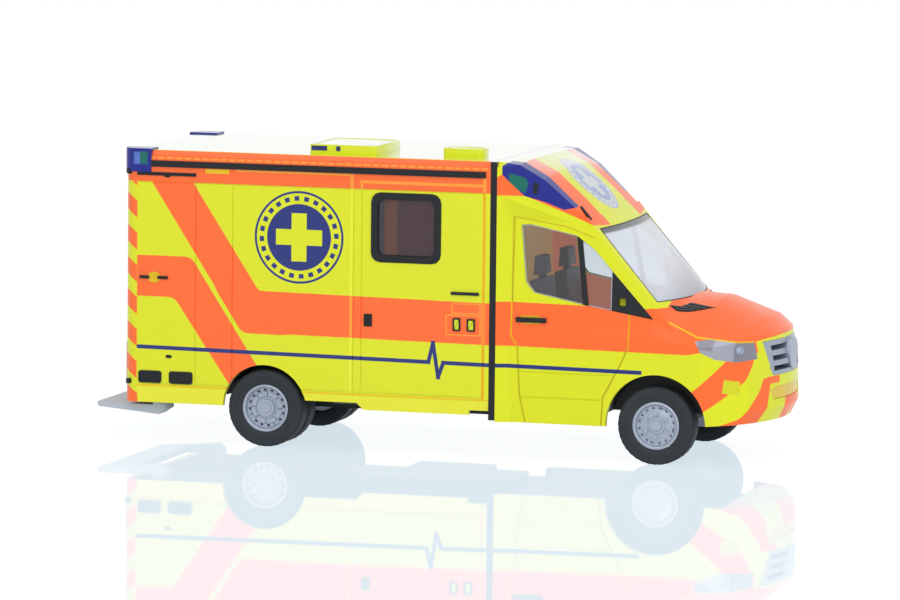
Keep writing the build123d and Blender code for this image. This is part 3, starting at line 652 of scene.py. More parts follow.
@dataclass(frozen=True)
class Livery:
    """The printed stripes that run over box and cab, with frame lines and pad outlines that are partly painted
    highlight.
    """

    stripe_top: tuple[Point, Point] = ((40.0, 15.9), (0.0, 16.43))
    stripe_foot: tuple[Point, Point] = ((0.0, 12.0), (40.0, 11.6))
    first_left: tuple[Point, Point] = ((-12.32, 27.22), (-2.82, 12.65))
    first_right: tuple[Point, Point] = ((-0.84, 16.72), (-7.67, 27.12))
    second_top: float = 19.72
    second_foot: float = 15.4
    second_right: tuple[Point, Point] = ((-0.93, 8.75), (-7.9, 19.39))
    second_left: tuple[Point, Point] = ((-4.01, 6.7), (-9.76, 15.1))
    post_x: float = -14.08
    band_z: float = 27.5
    line: tuple[Point, Point] = ((-14.2, 10.05), (40.4, 9.53))
    line_width: float = 0.42
    pulse: tuple[Point, ...] = ((17.9, 9.75), (18.38, 11.75), (18.96, 8.2), (19.5, 9.7))
    emblem: Point = (3.72, 22.2)
    rounding: float = 0.9
    wall: float = 11.0
    hazard_pitch: float = 3.39
    dash_pitch: float = 0.98
    # pale lines: partly the unprinted yellow in door grooves, partly painted highlight along embossed edges
    frames: tuple[tuple[Point, Point], ...] = (
        ((-3.2, 9.5), (28.84, 29.02)),
        ((9.3, 9.58), (6.1, 29.02)),
        ((10.4, 23.9), (28.14, 28.38)),
        ((10.4, 10.62), (27.5, 28.38)),
    )
    # outlines of raised pads, painted lighter as highlight on their edges
    pad_highlights: tuple[tuple[Point, Point], ...] = (
        ((20.39, 23.42), (14.95, 15.95)),
        ((19.76, 23.44), (12.69, 14.73)),
    )

    def stripe(self, graph: Graph, x: Value, z: Value) -> Value:
        """Return how far a place lies inside the main stripe."""
        return graph.lowest([graph.beside(x, z, *self.stripe_top), graph.beside(x, z, *self.stripe_foot)])

    def blue_line(self, graph: Graph, x: Value, z: Value) -> Value:
        """Return how far a place lies inside the thin line with its pulse.

        Args:
            graph: The material's graph.
            x: Place along the model.
            z: Place up the model.
        Returns:
            The depth, below nothing outside.
        """
        first, last = self.line
        slope = (last[1] - first[1]) / (last[0] - first[0])
        gap = (self.pulse[0][0], self.pulse[-1][0])
        parts = []
        for start_x, end_x in ((first[0], gap[0]), (gap[1], last[0])):
            ends = [(px, first[1] + slope * (px - first[0])) for px in (start_x, end_x)]
            parts.append(graph.stroke(x, z, ends[0], ends[1], self.line_width))
        for start, end in zip(self.pulse, self.pulse[1:]):
            parts.append(graph.stroke(x, z, start, end, self.line_width))
        return graph.highest(parts)

    def badge(self, graph: Graph, u: Value, v: Value, radius: float) -> Value:
        """Return how far a place lies inside the plain round badge: ring, ticks and a cross in a disc.

        Args:
            graph: The material's graph.
            u: Place across, from the middle.
            v: Place up, from the middle.
            radius: Its outer radius.
        Returns:
            The depth, below nothing outside.
        """
        away = graph.math("SQRT", u * u + v * v)
        ring = graph.band(away, radius * 0.95, radius)
        angle = graph.math("ARCTAN2", v, u)
        wave = graph.math("SINE", angle * 24.0)
        ticks = graph.lowest([graph.band(away, radius * 0.79, radius * 0.89), wave * (radius * 0.06)])
        disc = radius * 0.72 - away
        slim, long = ((-radius * share, radius * share) for share in (0.17, 0.52))
        arms = graph.highest([graph.pane(u, v, slim, long), graph.pane(v, u, slim, long)])
        return graph.highest([ring, ticks, graph.lowest([disc, 0.0 - arms])])


@dataclass
class Paint:
    """The printed gloss plastic of the body, with the livery that covers a part of it and some painted shade,
    highlight and glow.
    """

    effects: SharedEffects
    livery: Livery

    def _start(
        self, name: str, coat: float, shine: float, glare: Point
    ) -> tuple[bpy.types.Material, Graph, bpy.types.Node, tuple[Value, Value, Value]]:
        """Make a glossy material with the roof's glare, and return it with its graph, shader and places.

        Args:
            name: Its name.
            coat: Weight of the clear coat.
            shine: Strength of the gloss.
            glare: Height where the glare starts, and how softly.
        Returns:
            The material, its graph, its shader and the three places.
        """
        material, graph, shader = new_material(name)
        places = model_places(graph, self.effects)
        shader.inputs["Specular IOR Level"].default_value = shine
        shader.inputs["Coat Roughness"].default_value = 0.05
        shader.inputs["Coat Weight"].default_value = coat
        add_moulding(graph, shader, self.effects, 0.12, 0.26, 0.05)
        add_glare(graph, shader, places[2], *glare)
        return material, graph, shader, places

    @staticmethod
    def _layers(
        graph: Graph, shader: bpy.types.Node, layers: Sequence[tuple[Value, Tint]], soft: float = 0.05
    ) -> None:
        """Lay prints, and painted shade and highlights, over the yellow plastic, in order.

        Args:
            graph: The material's graph.
            shader: Its Principled shader.
            layers: Shapes and their colours, the lowest first.
            soft: Width of the prints' edges.
        """
        here = graph.node("ShaderNodeTexCoord").outputs["Object"]
        uneven = graph.noise(here, 90.0, 3.0)
        warm = tuple(a * 0.97 + b * 0.03 for a, b in zip(Tint.YELLOW.linear(), Tint.AMBER.linear()))
        colour = graph.blend(uneven, Tint.YELLOW.linear(), warm)
        for depth, tint in layers:
            colour = graph.blend(graph.mask(depth, soft), colour, tint.linear())
        graph.feed(shader.inputs["Base Color"], colour)

    def box(self) -> bpy.types.Material:
        """Build the paint of the load box.

        Returns:
            The material.
        """
        material, graph, shader, (x, y, z) = self._start("box_print", 0.12, 0.25, (30.72, 0.1))
        livery = self.livery
        wall = y.size() - livery.wall
        clear_of_post = x - livery.post_x
        sides = (livery.first_left, livery.first_right, livery.stripe_foot)
        first = graph.lowest([graph.beside(x, z, *side) for side in sides], livery.rounding)
        slant = graph.beside(x, z, *livery.first_left)
        run = graph.lowest([livery.stripe(graph, x, z), slant], livery.rounding)
        upper = graph.lowest([livery.second_top - z, graph.beside(x, z, *livery.second_right)], livery.rounding)
        lower = graph.lowest([livery.second_foot - z, graph.beside(x, z, *livery.second_left)], livery.rounding)
        second = graph.lowest([upper, lower * -1.0])
        joined = graph.highest([graph.highest([first, run], 0.6), second])
        stripes = graph.lowest([joined, clear_of_post, livery.band_z - z])
        hazard = graph.math("SINE", (z + x * 0.75 + 0.45) * (2 * math.pi / livery.hazard_pitch)) * 0.5 + 0.05
        posts = graph.lowest([hazard, x * -1.0 + livery.post_x, livery.band_z - z])
        band = graph.lowest([graph.band(z, livery.band_z, 31.2), graph.highest([y.size() - 11.38, 30.5 - z])])
        orange = graph.highest([graph.lowest([stripes, y.size() - 11.55]), graph.lowest([band, wall]), posts])
        tab = graph.lowest([graph.pane(x, z, (-6.6, -4.0), (28.55, 29.0)), wall])
        dash = graph.math("SINE", x * (2 * math.pi / livery.dash_pitch)) * 0.3 + 0.2
        stitch = graph.lowest([graph.band(z, 29.9, 30.1), dash, wall])
        # partly unprinted yellow in door grooves, partly painted highlight along embossed edges
        frames = graph.lowest([graph.highest([graph.pane(x, z, *bar) for bar in livery.frames]), wall])
        outlines = [graph.pane(x, z, *pad, 0.3).size() * -1.0 + 0.06 for pad in livery.pad_highlights]
        pad_highlights = graph.lowest([graph.highest(outlines), y * -1.0])
        seam = graph.lowest([graph.band(x, 23.6, 23.92), wall, 29.2 - z, z - 6.0])
        # painted shade: an amber line along the crease under the vents
        crease_shade = graph.lowest([graph.band(z, 5.92, 6.08), wall, clear_of_post])
        # painted highlight: the skirt below the crease is a lighter yellow
        skirt_highlight = graph.lowest([5.85 - z, wall, clear_of_post])
        blue = graph.lowest([livery.blue_line(graph, x, z), wall, clear_of_post])
        badge = graph.lowest([livery.badge(graph, x - livery.emblem[0], z - livery.emblem[1], 4.85), wall])
        self._layers(graph, shader, (
            (orange, Tint.ORANGE),
            (frames, Tint.BRIGHT),
            (seam, Tint.AMBER),
            # on the orange, these lines, the seam and the pad outlines turn light orange: partly painted
            # highlight
            (graph.lowest([graph.highest([frames, seam, pad_highlights]), orange]), Tint.DASH),
            (crease_shade, Tint.AMBER),
            (skirt_highlight, Tint.BRIGHT),
            (tab, Tint.AMBER),
            (stitch, Tint.DASH),
            (blue, Tint.BLUE),
            (badge, Tint.BLUE),
        ))
        return material

    def cab(self) -> bpy.types.Material:
        """Build the paint of the cab.

        Returns:
            The material.
        """
        material, graph, shader, (x, y, z) = self._start("cab_print", 0.06, 0.15, (29.2, 1.8))
        livery = self.livery
        wide = y.size()
        door = graph.lowest([
            graph.beside(x, z, (40.0, 16.1), (0.0, 16.7)),
            graph.beside(x, z, *livery.stripe_foot),
            41.6 - x,
        ])
        hood = graph.lowest([
            x - 41.2,
            graph.beside(x, z, *livery.stripe_foot),
            graph.beside(x, z, (46.6, 11.8), (52.2, 12.95)),
            17.6 - z,
            graph.highest([16.15 - z, x - 42.7]),
        ])
        wrap = x - wide
        first = graph.lowest([
            graph.beside(wrap, z, (38.43, 10.9), (34.62, 7.9)),
            graph.beside(wrap, z, (35.75, 5.72), (41.32, 8.87)),
            graph.beside(wrap, z, (41.32, 8.87), (42.97, 10.68)),
        ], 0.3)
        second = graph.lowest([
            graph.highest([
                graph.beside(wrap, z, (40.66, 5.06), (38.29, 4.46)),
                graph.beside(wrap, z, (44.26, 7.65), (40.66, 5.06)),
                graph.beside(wrap, z, (45.22, 8.99), (44.26, 7.65)),
            ], 0.3),
            graph.beside(wrap, z, (45.02, 4.85), (46.3, 6.2)),
            graph.beside(wrap, z, (46.14, 5.97), (46.68, 7.75)),
            9.0 - z,
        ])
        third = graph.lowest([
            graph.beside(wrap, z, (51.1, 6.9), (50.3, 4.3)),
            6.9 - z,
            graph.beside(wide, z, (0.0, 5.4), (0.55, 4.2)),
        ])
        chin = graph.lowest([graph.pane(wide, z, (4.2, 6.6), (8.35, 9.1)), x - 51.0])
        bumper = graph.lowest([graph.highest([first, second, third, chin]), 11.4 - z, x - 45.5])
        patch = graph.lowest([graph.pane(wide, z, (7.7, 8.7), (11.7, 13.0)), x - 51.5])
        edge = graph.lowest([graph.highest([graph.lowest([wide - 6.0, x - 27.0]), wide - 11.0]), z - 24.2])
        above = graph.highest([z - 27.35, graph.lowest([
            graph.beside(x, z, (35.2, 24.4), (27.6, 27.52)) * -1.0,
            x - 27.4,
        ])])
        fairing = graph.lowest([edge, above, graph.beside(x, z, (28.4, 31.5), (24.8, 29.0))])
        orange = graph.highest([door, hood, bumper, patch, fairing])
        blue = graph.lowest([livery.blue_line(graph, x, z), wide - 10.8])
        lines = []
        for points in (
            ((35.2, 23.2), (32.1, 24.3), (26.6, 25.1), (26.6, 12.8), (27.3, 11.7), (27.6, 6.6), (28.2, 3.8)),
            ((39.1, 15.4), (39.1, 12.0), (38.1, 9.8), (36.5, 6.8), (36.3, 3.8)),
            ((43.3, 14.75), (46.3, 13.35), (52.0, 12.8)),
        ):
            lines += [graph.stroke(x, z, a, b, 0.13) for a, b in zip(points, points[1:])]
        seams = graph.lowest([graph.highest(lines), wide - 8.0])
        slant = (x - 31.9) * 0.72 - (z - 28.05) * 0.7
        disc = graph.lowest([3.9 - graph.math("SQRT", y * y + slant * slant), z - 25.0])
        badge = graph.lowest([livery.badge(graph, y, slant, 3.9), z - 25.0])
        corner = ((49.0, 7.7), (50.7, 7.5), (50.7, 8.9), (49.2, 9.1))
        fog = graph.lowest([graph.shape(x, z, corner), wide - 7.0])
        facing = graph.node("ShaderNodeSeparateXYZ")
        graph.feed(facing.inputs[0], graph.node("ShaderNodeNewGeometry").outputs["Normal"])
        turned = Value(graph, facing.outputs[1]) * graph.math("SIGN", y) * -1.0
        # painted shade and glow: the inner faces of the cab are painted brown as shade and glow a little in
        # that brown
        inner_shade_glow = graph.lowest([turned - 0.5, 43.0 - x, z - 6.0, 26.0 - z])
        self._layers(graph, shader, (
            (orange, Tint.ORANGE),
            (fog, Tint.HAZE),
            (seams, Tint.OLIVE),
            (graph.lowest([seams, orange]), Tint.AMBER),
            (blue, Tint.BLUE),
            (disc, Tint.DISC),
            # painted highlight: the badge is printed in a lighter blue that stands for glare
            (badge, Tint.FADED),
            (inner_shade_glow, Tint.INSIDE),
        ))
        # painted light: the inner faces glow, though they are no lamp
        shader.inputs["Emission Color"].default_value = Tint.INSIDE.linear()
        graph.feed(shader.inputs["Emission Strength"], graph.mask(inner_shade_glow) * 0.33)
        return material


class Finishes:
    """Every finish of the model, built once."""

    def __init__(self) -> None:
        """Build the materials."""
        effects = SharedEffects()
        paint = Paint(effects, Livery())
        self.box = paint.box()
        self.cab = paint.cab()
        table = (
            Plastic("black_moulding", Tint.BLACK, rough=0.42, grain=0.6, shine=0.2),
            Plastic("yellow_moulding", Tint.YELLOW, rough=0.26, grain=0.1, coat=0.15, soil=0.03, glare=True),
            Plastic("gasket_black", Tint.BLACK, rough=0.42, grain=0.6, shine=0.2, glare=True),
            # painted highlight: the pale edge round the door glass
            Plastic("pale_rim", Tint.GREY, rough=0.3, soil=0.1),
            Plastic("vent_blue", Tint.BLUE, rough=0.4),
            # painted shade: the amber of the handle dishes stands for the shade in their hollows
            Plastic("amber_recess", Tint.AMBER, rough=0.4, soil=0.2),
            Plastic("tyre_rubber", Tint.RUBBER, rough=0.62, grain=1.0, bump=0.25, soil=0.25),
            Plastic("wheel_silver", Tint.SILVER, rough=0.38, grain=0.5, metal=0.35, soil=0.15),
            # painted shade: the dark grey of the rim pockets' floors
            Plastic("wheel_recess", Tint.SMOKE, rough=0.6, soil=0.4),
            Plastic("pin_steel", Tint.STEEL, rough=0.3, metal=1.0, soil=0.2),
            Plastic("step_grey", Tint.GREY, rough=0.45, soil=0.08),
            Plastic("base_black", Tint.BLACK, rough=0.55, grain=0.8, soil=0.3),
            Plastic("seat_grey", Tint.SEAT, rough=0.5, grain=0.8),
            # painted light: the partition glows a little so that it looks lit inside the cab
            Plastic("wall_tan", Tint.TAN, rough=0.5, painted_glow=0.3),
            Plastic("red_lamp", Tint.RED, rough=0.2, coat=0.5),
            Plastic("lamp_silver", Tint.LAMP, rough=0.18, coat=0.8, metal=0.3, soil=0.1, inlays=(
                (((50.0, 10.9), (52.8, 10.6), (52.8, 13.0), (50.3, 13.4)), Tint.DUSK),
                (((46.4, 12.3), (47.9, 12.0), (48.3, 13.6), (46.4, 13.8)), Tint.DUSK),
            )),
            Plastic("grille_silver", Tint.SILVER, rough=0.3, metal=0.4, soil=0.3),
            # painted shade: the recessed panel under the grille is painted gold as shaded yellow
            Plastic("plate_yellow", Tint.PLATE, rough=0.35, coat=0.3, soil=0.25),
            Glass("clear_pane", Tint.CLEAR),
            # painted reflection and shade: the windscreen is half a pale diffuse sheet, grey below a line
            Glass("screen_pane", Tint.SCREEN, clear=0.45, band_above=23.55, shade=((-9.0, 15.6), (9.0, 20.6))),
            Glass("tinted_pane", Tint.MAUVE, rough=0.06, clear=0.45, inlays=(
                (((12.3, 16.0), (12.95, 16.0), (12.95, 27.0), (12.3, 27.0)), Tint.SMOKE),
                (((12.95, 16.0), (14.35, 16.0), (14.35, 27.0), (12.95, 27.0)), Tint.TINTED),
            )),
            Glass("blue_lens", Tint.LENS, rough=0.08, ior=1.35, clear=0.3, inlays=(
                (
                    ((26.3, 28.5), (27.2, 27.95), (28.0, 27.7), (28.25, 28.7), (28.0, 29.2), (26.3, 29.7)),
                    Tint.TEAL,
                ),
                (((28.7, 27.7), (29.15, 27.5), (29.4, 28.5), (28.85, 28.9)), Tint.BLACK),
                (((-14.45, 29.3), (-13.75, 29.3), (-13.75, 30.55), (-14.45, 30.55)), Tint.SKY),
                (((-13.75, 29.3), (-12.95, 29.3), (-12.95, 30.6), (-13.75, 30.6)), Tint.TEAL),
            )),
        )
        self._made = {finish.name: finish.make(effects) for finish in table}

    def __getitem__(self, name: str) -> bpy.types.Material:
        """Return a material by its finish's name."""
        return self._made[name]


# Modelling by operators


class Workshop:
    """Adds primitives and shapes them in edit mode, all in the shared frame."""

    @staticmethod
    def clear() -> None:
        """Deselect everything."""
        bpy.ops.object.select_all(action="DESELECT")

    @classmethod
    def activate(cls, piece: bpy.types.Object) -> None:
        """Select one piece alone and make it the active one.

        Args:
            piece: The piece.
        """
        cls.clear()
        piece.select_set(True)
        bpy.context.view_layer.objects.active = piece

    @staticmethod
    def _settle(name: str) -> bpy.types.Object:
        """Name the new object and move its place into its mesh.

        Args:
            name: The new name.
        Returns:
            The object.
        """
        piece = bpy.context.object
        piece.name = name
        piece.data.name = name
        bpy.ops.object.transform_apply(location=True, rotation=True, scale=True)
        return piece

    @classmethod
    def block(cls, name: str, low: Vector, high: Vector) -> bpy.types.Object:
        """Add a box between two corners, in metres.

        Args:
            name: Its name.
            low: The lowest corner.
            high: The highest corner.
        Returns:
            The box.
        """
        cls.clear()
        bpy.ops.mesh.primitive_cube_add(size=1, location=(low + high) / 2)
        bpy.context.object.scale = [abs(part) for part in high - low]
        return cls._settle(name)

    @classmethod
    def rod(
        cls, name: str, centre: Vector, radius: float, depth: float, axis: Vector, sides: int
    ) -> bpy.types.Object:
        """Add a cylinder along an axis, with sizes in millimetres.

        Args:
            name: Its name.
            centre: Its middle, in metres.
            radius: Its radius.
            depth: Its length.
            axis: Its direction.
            sides: Number of its sides.
        Returns:
            The cylinder.
        """
        cls.clear()
        turn = axis.to_track_quat("Z", "Y").to_euler()
        bpy.ops.mesh.primitive_cylinder_add(
            vertices=sides, radius=radius * MM, depth=depth * MM, location=centre, rotation=turn
        )
        return cls._settle(name)

    @staticmethod
    @contextmanager
    def editing(piece: bpy.types.Object, mode: str = "FACE") -> Iterator[None]:
        """Stay in edit mode on one piece, with nothing selected at the start.

        Args:
            piece: The piece to edit.
            mode: What is selected: vertices, edges or faces.
        Returns:
            Nothing, while in edit mode.
        """
        Workshop.activate(piece)
        bpy.ops.object.mode_set(mode="EDIT")
        bpy.ops.mesh.select_mode(type=mode)
        bpy.ops.mesh.select_all(action="DESELECT")
        yield
        bpy.ops.object.mode_set(mode="OBJECT")

    @staticmethod
    def pick(piece: bpy.types.Object, test: Callable[[object], bool], kind: str = "faces") -> None:
        """Select the faces or edges that pass a test.

        Args:
            piece: The piece in edit mode.
            test: What a face or edge has to meet.
            kind: Either faces or edges.
        """
        mesh = bmesh.from_edit_mesh(piece.data)
        bpy.ops.mesh.select_all(action="DESELECT")
        for part in [part for part in getattr(mesh, kind) if test(part)]:
            part.select_set(True)
        bmesh.update_edit_mesh(piece.data)

    @staticmethod
    def push(distance: float) -> None:
        """Extrude the selected faces along their normals, by millimetres."""
        bpy.ops.mesh.extrude_region_shrink_fatten(TRANSFORM_OT_shrink_fatten={"value": distance * MM})

    @staticmethod
    def paint_faces(piece: bpy.types.Object, index: int) -> None:
        """Give the selected faces another material slot.

        Args:
            piece: The piece in edit mode.
            index: Number of the slot.
        """
        mesh = bmesh.from_edit_mesh(piece.data)
        for face in mesh.faces:
            if face.select:
                face.material_index = index
        bmesh.update_edit_mesh(piece.data)

    @classmethod
    def soften(cls, piece: bpy.types.Object, width: float, segments: int = 2) -> None:
        """Bevel the piece's sharp edges, by millimetres."""
        cls.modify(piece, "BEVEL", width=width * MM, segments=segments, limit_method="ANGLE")

    @classmethod
    def modify(cls, piece: bpy.types.Object, kind: str, **settings: object) -> None:
        """Add a modifier with its settings and apply it.

        Args:
            piece: The piece that is modified.
            kind: Blender's name of the modifier's kind.
            settings: The modifier's values by name.
        """
        cls.activate(piece)
        modifier = piece.modifiers.new(kind.lower(), kind)
        for name, value in settings.items():
            setattr(modifier, name, value)
        bpy.ops.object.modifier_apply(modifier=modifier.name)

    @classmethod
    def round_corners(cls, piece: bpy.types.Object, axis: Vector, offset: float, segments: int) -> None:
        """Bevel the edges that run along an axis.

        Args:
            piece: The piece to round.
            axis: The direction of the edges.
            offset: Size of the bevel in millimetres.
            segments: Steps of the bevel.
        """
        def along(edge: bmesh.types.BMEdge) -> bool:
            """Return whether an edge runs along the axis."""
            return abs((edge.verts[0].co - edge.verts[1].co).normalized().dot(axis)) > 0.9

        with cls.editing(piece, "EDGE"):
            cls.pick(piece, along, "edges")
            bpy.ops.mesh.bevel(offset=offset * MM, segments=segments, affect="EDGES")

    @classmethod
    def weld(cls, piece: bpy.types.Object) -> None:
        """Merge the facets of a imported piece's copy into whole faces.

        Args:
            piece: The copy.
        """
        with cls.editing(piece):
            bpy.ops.mesh.select_all(action="SELECT")
            bpy.ops.mesh.remove_doubles(threshold=0.001 * MM)
            bpy.ops.mesh.dissolve_limited(angle_limit=math.radians(1))

    @classmethod
    def join(cls, name: str, pieces: Sequence[bpy.types.Object]) -> bpy.types.Object:
        """Join pieces into one mesh.

        Args:
            name: Name of the joined piece.
            pieces: What is joined.
        Returns:
            The joined piece.
        """
        cls.clear()
        for piece in pieces:
            piece.select_set(True)
        bpy.context.view_layer.objects.active = pieces[0]
        if len(pieces) > 1:
            bpy.ops.object.join()
        pieces[0].name = name
        pieces[0].data.name = name
        return pieces[0]

    @classmethod
    def twin(cls, piece: bpy.types.Object, name: str, matrix: Matrix) -> bpy.types.Object:
        """Copy a piece with its own mesh, moved or mirrored by a matrix.

        Args:
            piece: The piece.
            name: Name of the copy.
            matrix: Where the copy goes.
        Returns:
            The copy.
        """
        copy = piece.copy()
        copy.data = piece.data.copy()
        copy.name = name
        copy.data.name = name
        bpy.context.scene.collection.objects.link(copy)
        copy.data.transform(matrix)
        if matrix.determinant() < 0:
            with cls.editing(copy):
                bpy.ops.mesh.select_all(action="SELECT")
                bpy.ops.mesh.normals_make_consistent(inside=False)
        return copy

    @classmethod
    def finish(
        cls,
        piece: bpy.types.Object,
        body: Body,
        slot: str,
        materials: Sequence[bpy.types.Material],
        replaces: Sequence[str] = (),
        angle: float = 35.0,
    ) -> None:
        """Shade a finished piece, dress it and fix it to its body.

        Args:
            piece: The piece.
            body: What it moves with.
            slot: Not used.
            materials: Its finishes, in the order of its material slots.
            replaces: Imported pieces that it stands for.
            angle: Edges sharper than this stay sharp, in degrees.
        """
        cls.activate(piece)
        bpy.ops.object.shade_smooth_by_angle(angle=math.radians(angle))
        if piece.data.materials:
            piece.data.materials.clear()
        for material in materials:
            piece.data.materials.append(material)
        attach(piece, body.value)
        if replaces:
            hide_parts(*replaces)
        LOG.info("%s rides on %s", piece.name, body.value)

    @classmethod
    def place(
        cls, piece: bpy.types.Object, both: bool, slot: str, materials: Sequence[bpy.types.Material]
    ) -> None:
        """Mirror a left-hand fitting to the right, keep the left one if both sides have it, and dress them.

        Args:
            piece: The left-hand fitting.
            both: Whether the left side has it too.
            slot: The record's material slot that it belongs to.
            materials: Its finishes, in the order of its material slots.
        """
        twin = cls.twin(piece, f"{piece.name}_right", MIRROR)
        cls.finish(twin, Body.MODEL, slot, materials)
        if both:
            piece.name = f"{piece.name}_left"
            cls.finish(piece, Body.MODEL, slot, materials)
        else:
            bpy.data.objects.remove(piece)


ACROSS = Vector((0, 1, 0))
UPRIGHT = Vector((0, 0, 1))
MIRROR = Matrix.Scale(-1.0, 4, ACROSS)


# Sub-assemblies


@dataclass
class Wheels:
    """Tyres with their tread and rims with their nuts and holes, the holes' floors painted dark grey as shade.
    """

    finishes: Finishes
    radius: float = 4.06
    width: float = 2.3
    shoulder: float = 0.42
    rim_radius: float = 2.47
    sides: int = 72
    rim_sides: int = 64
    groove: Point = (0.2, 0.38)
    sidewall: tuple[Point, ...] = (
        (0.34, 0.0), (0.05, 0.04), (0.12, 0.0), (0.05, -0.05), (0.3, -0.02), (0.26, -0.1),
    )
    front_rings: tuple[Point, ...] = (
        (0.16, 0.04), (0.12, -0.08), (0.14, -0.34), (0.06, -0.02), (0.3, 0.0),
        (0.12, 0.06), (0.62, 0.0), (0.1, 0.1), (0.22, 0.0), (0.08, 0.12),
    )
    rear_rings: tuple[Point, ...] = (
        (0.14, 0.04), (0.12, -0.1), (0.12, -0.45), (0.08, -0.08), (0.26, 0.0), (0.1, 0.08),
        (0.42, 0.0), (0.1, -0.1), (0.2, 0.0), (0.06, 0.3), (0.3, 0.0), (0.06, 0.12),
    )
    nuts: int = 6
    nut_circle: float = 1.25
    places: tuple[tuple[str, Body, float, float], ...] = (
        ("front", Body.FRONT_AXLE, 42.1, 11.2),
        ("rear_outer", Body.REAR_AXLE, 0.0, 11.6),
        ("rear_inner", Body.REAR_AXLE, 0.0, 8.95),
    )

    def _reach(self, centre: Vector) -> float:
        """Return the distance from the wheel's axis, in millimetres."""
        return math.hypot(centre.x, centre.z) / MM

    def tyre(self) -> bpy.types.Object:
        """Model a tyre about the origin, its axis along Y.

        Returns:
            The tyre.
        """
        piece = Workshop.rod("tyre", Vector(), self.radius, self.width, ACROSS, self.sides)
        half = self.width / 2 * MM
        with Workshop.editing(piece, "EDGE"):
            Workshop.pick(piece, lambda edge: all(abs(abs(v.co.y) - half) < 1e-6 for v in edge.verts), "edges")
            bpy.ops.mesh.bevel(offset=self.shoulder * MM, segments=4, profile=0.55, affect="EDGES")
        with Workshop.editing(piece):
            for co in (-self.groove[1], -self.groove[0], self.groove[0], self.groove[1]):
                bpy.ops.mesh.select_all(action="SELECT")
                bpy.ops.mesh.bisect(plane_co=(0, co * MM, 0), plane_no=(0, 1, 0))
            for thickness, depth in self.sidewall:
                Workshop.pick(piece, lambda face: len(face.verts) > 8)
                bpy.ops.mesh.inset(thickness=thickness * MM, depth=depth * MM)
            Workshop.pick(piece, lambda face: len(face.verts) > 8)
            bpy.ops.mesh.delete(type="FACE")
        with Workshop.editing(piece, "EDGE"):
            Workshop.pick(piece, lambda edge: edge.is_boundary, "edges")
            bpy.ops.mesh.bridge_edge_loops()
        with Workshop.editing(piece):
            Workshop.pick(piece, self._in_groove)
            Workshop.push(-0.12)
            Workshop.pick(piece, self._is_notch)
            Workshop.push(-0.03)
        return piece

    def _in_groove(self, face: bmesh.types.BMFace) -> bool:
        """Return whether a face of the tread lies in one of the two grooves.

        Args:
            face: A face of the tyre.
        Returns:
            Whether it does.
        """
        middle = face.calc_center_median()
        low, high = self.groove
        return self._reach(middle) > self.radius - 0.05 and low < abs(middle.y) / MM < high

    def _is_notch(self, face: bmesh.types.BMFace) -> bool:
        """Return whether a face of the shoulder is a notch, which every second one is.

        Args:
            face: A face of the tyre.
        Returns:
            Whether it is.
        """
        middle = face.calc_center_median()
        turn = int((math.atan2(middle.z, middle.x) + 7) / (2 * math.pi / self.sides))
        on_shoulder = abs(middle.y) / MM > self.width / 2 - self.shoulder
        return self._reach(middle) > self.radius - 0.2 and on_shoulder and turn % 2 == 1

    def _rim_blank(self, name: str, rings: Sequence[Point]) -> bpy.types.Object:
        """Model a rim about the origin, its outer face along +Y, from rings of inset and depth.

        Args:
            name: Its name.
            rings: Inset and depth of each ring, from the outside in.
        Returns:
            The rim.
        """
        depth = self.width - 0.2
        piece = Workshop.rod(name, Vector(), self.rim_radius, depth, ACROSS, self.rim_sides)
        with Workshop.editing(piece):
            for inset, sink in rings:
                Workshop.pick(piece, lambda face: len(face.verts) > 8 and face.normal.y > 0.9)
                bpy.ops.mesh.inset(thickness=inset * MM, depth=sink * MM)
        return piece

    def _pockets(self, piece: bpy.types.Object, ring: Point, pattern: Sequence[int], sink: float) -> None:
        """Sink pockets into a ring of the rim's face, where a repeated pattern has a one, and give their floors
        the second slot: a dark grey as painted shade.

        Args:
            piece: The rim.
            ring: Inner and outer radius of the ring.
            pattern: Ones and noughts, repeated round the ring.
            sink: Depth of the pockets.
        """
        step = 2 * math.pi / self.rim_sides

        def chosen(face: bmesh.types.BMFace) -> bool:
            """Return whether a face of the ring is a pocket.

            Args:
                face: A face of the rim.
            Returns:
                Whether it is.
            """
            middle = face.calc_center_median()
            turn = int((math.atan2(middle.z, middle.x) + 4 * math.pi + step / 2) / step)
            on_ring = face.normal.y > 0.7 and ring[0] < self._reach(middle) < ring[1]
            return on_ring and bool(pattern[turn % len(pattern)])

        with Workshop.editing(piece):
            Workshop.pick(piece, chosen)
            bpy.ops.mesh.inset(thickness=0.03 * MM)
            Workshop.push(-sink)
            # painted shade: the pocket floors take the dark grey of the second slot
            Workshop.paint_faces(piece, 1)

    def front_rim(self) -> bpy.types.Object:
        """Model a front rim with its lip, slots, six nuts and boss.

        Returns:
            The rim.
        """
        piece = self._rim_blank("front_rim", self.front_rings)
        self._pockets(piece, (1.72, 1.96), (0, 1, 1, 0), 0.3)
        face_y = self.width / 2 - 0.1 - 0.34
        nuts = []
        for turn in range(self.nuts):
            angle = 2 * math.pi * (turn + 0.5) / self.nuts
            across, up = self.nut_circle * math.cos(angle), self.nut_circle * math.sin(angle)
            centre = Vector((across, face_y + 0.12, up)) * MM
            nut = Workshop.rod("nut", centre, 0.2, 0.22, ACROSS, 6)
            with Workshop.editing(nut):
                Workshop.pick(nut, lambda face: face.normal.y > 0.9)
                bpy.ops.mesh.inset(thickness=0.07 * MM, depth=0.03 * MM)
                Workshop.push(0.05)
            nuts.append(nut)
        return Workshop.join("front_rim", [piece, *nuts])

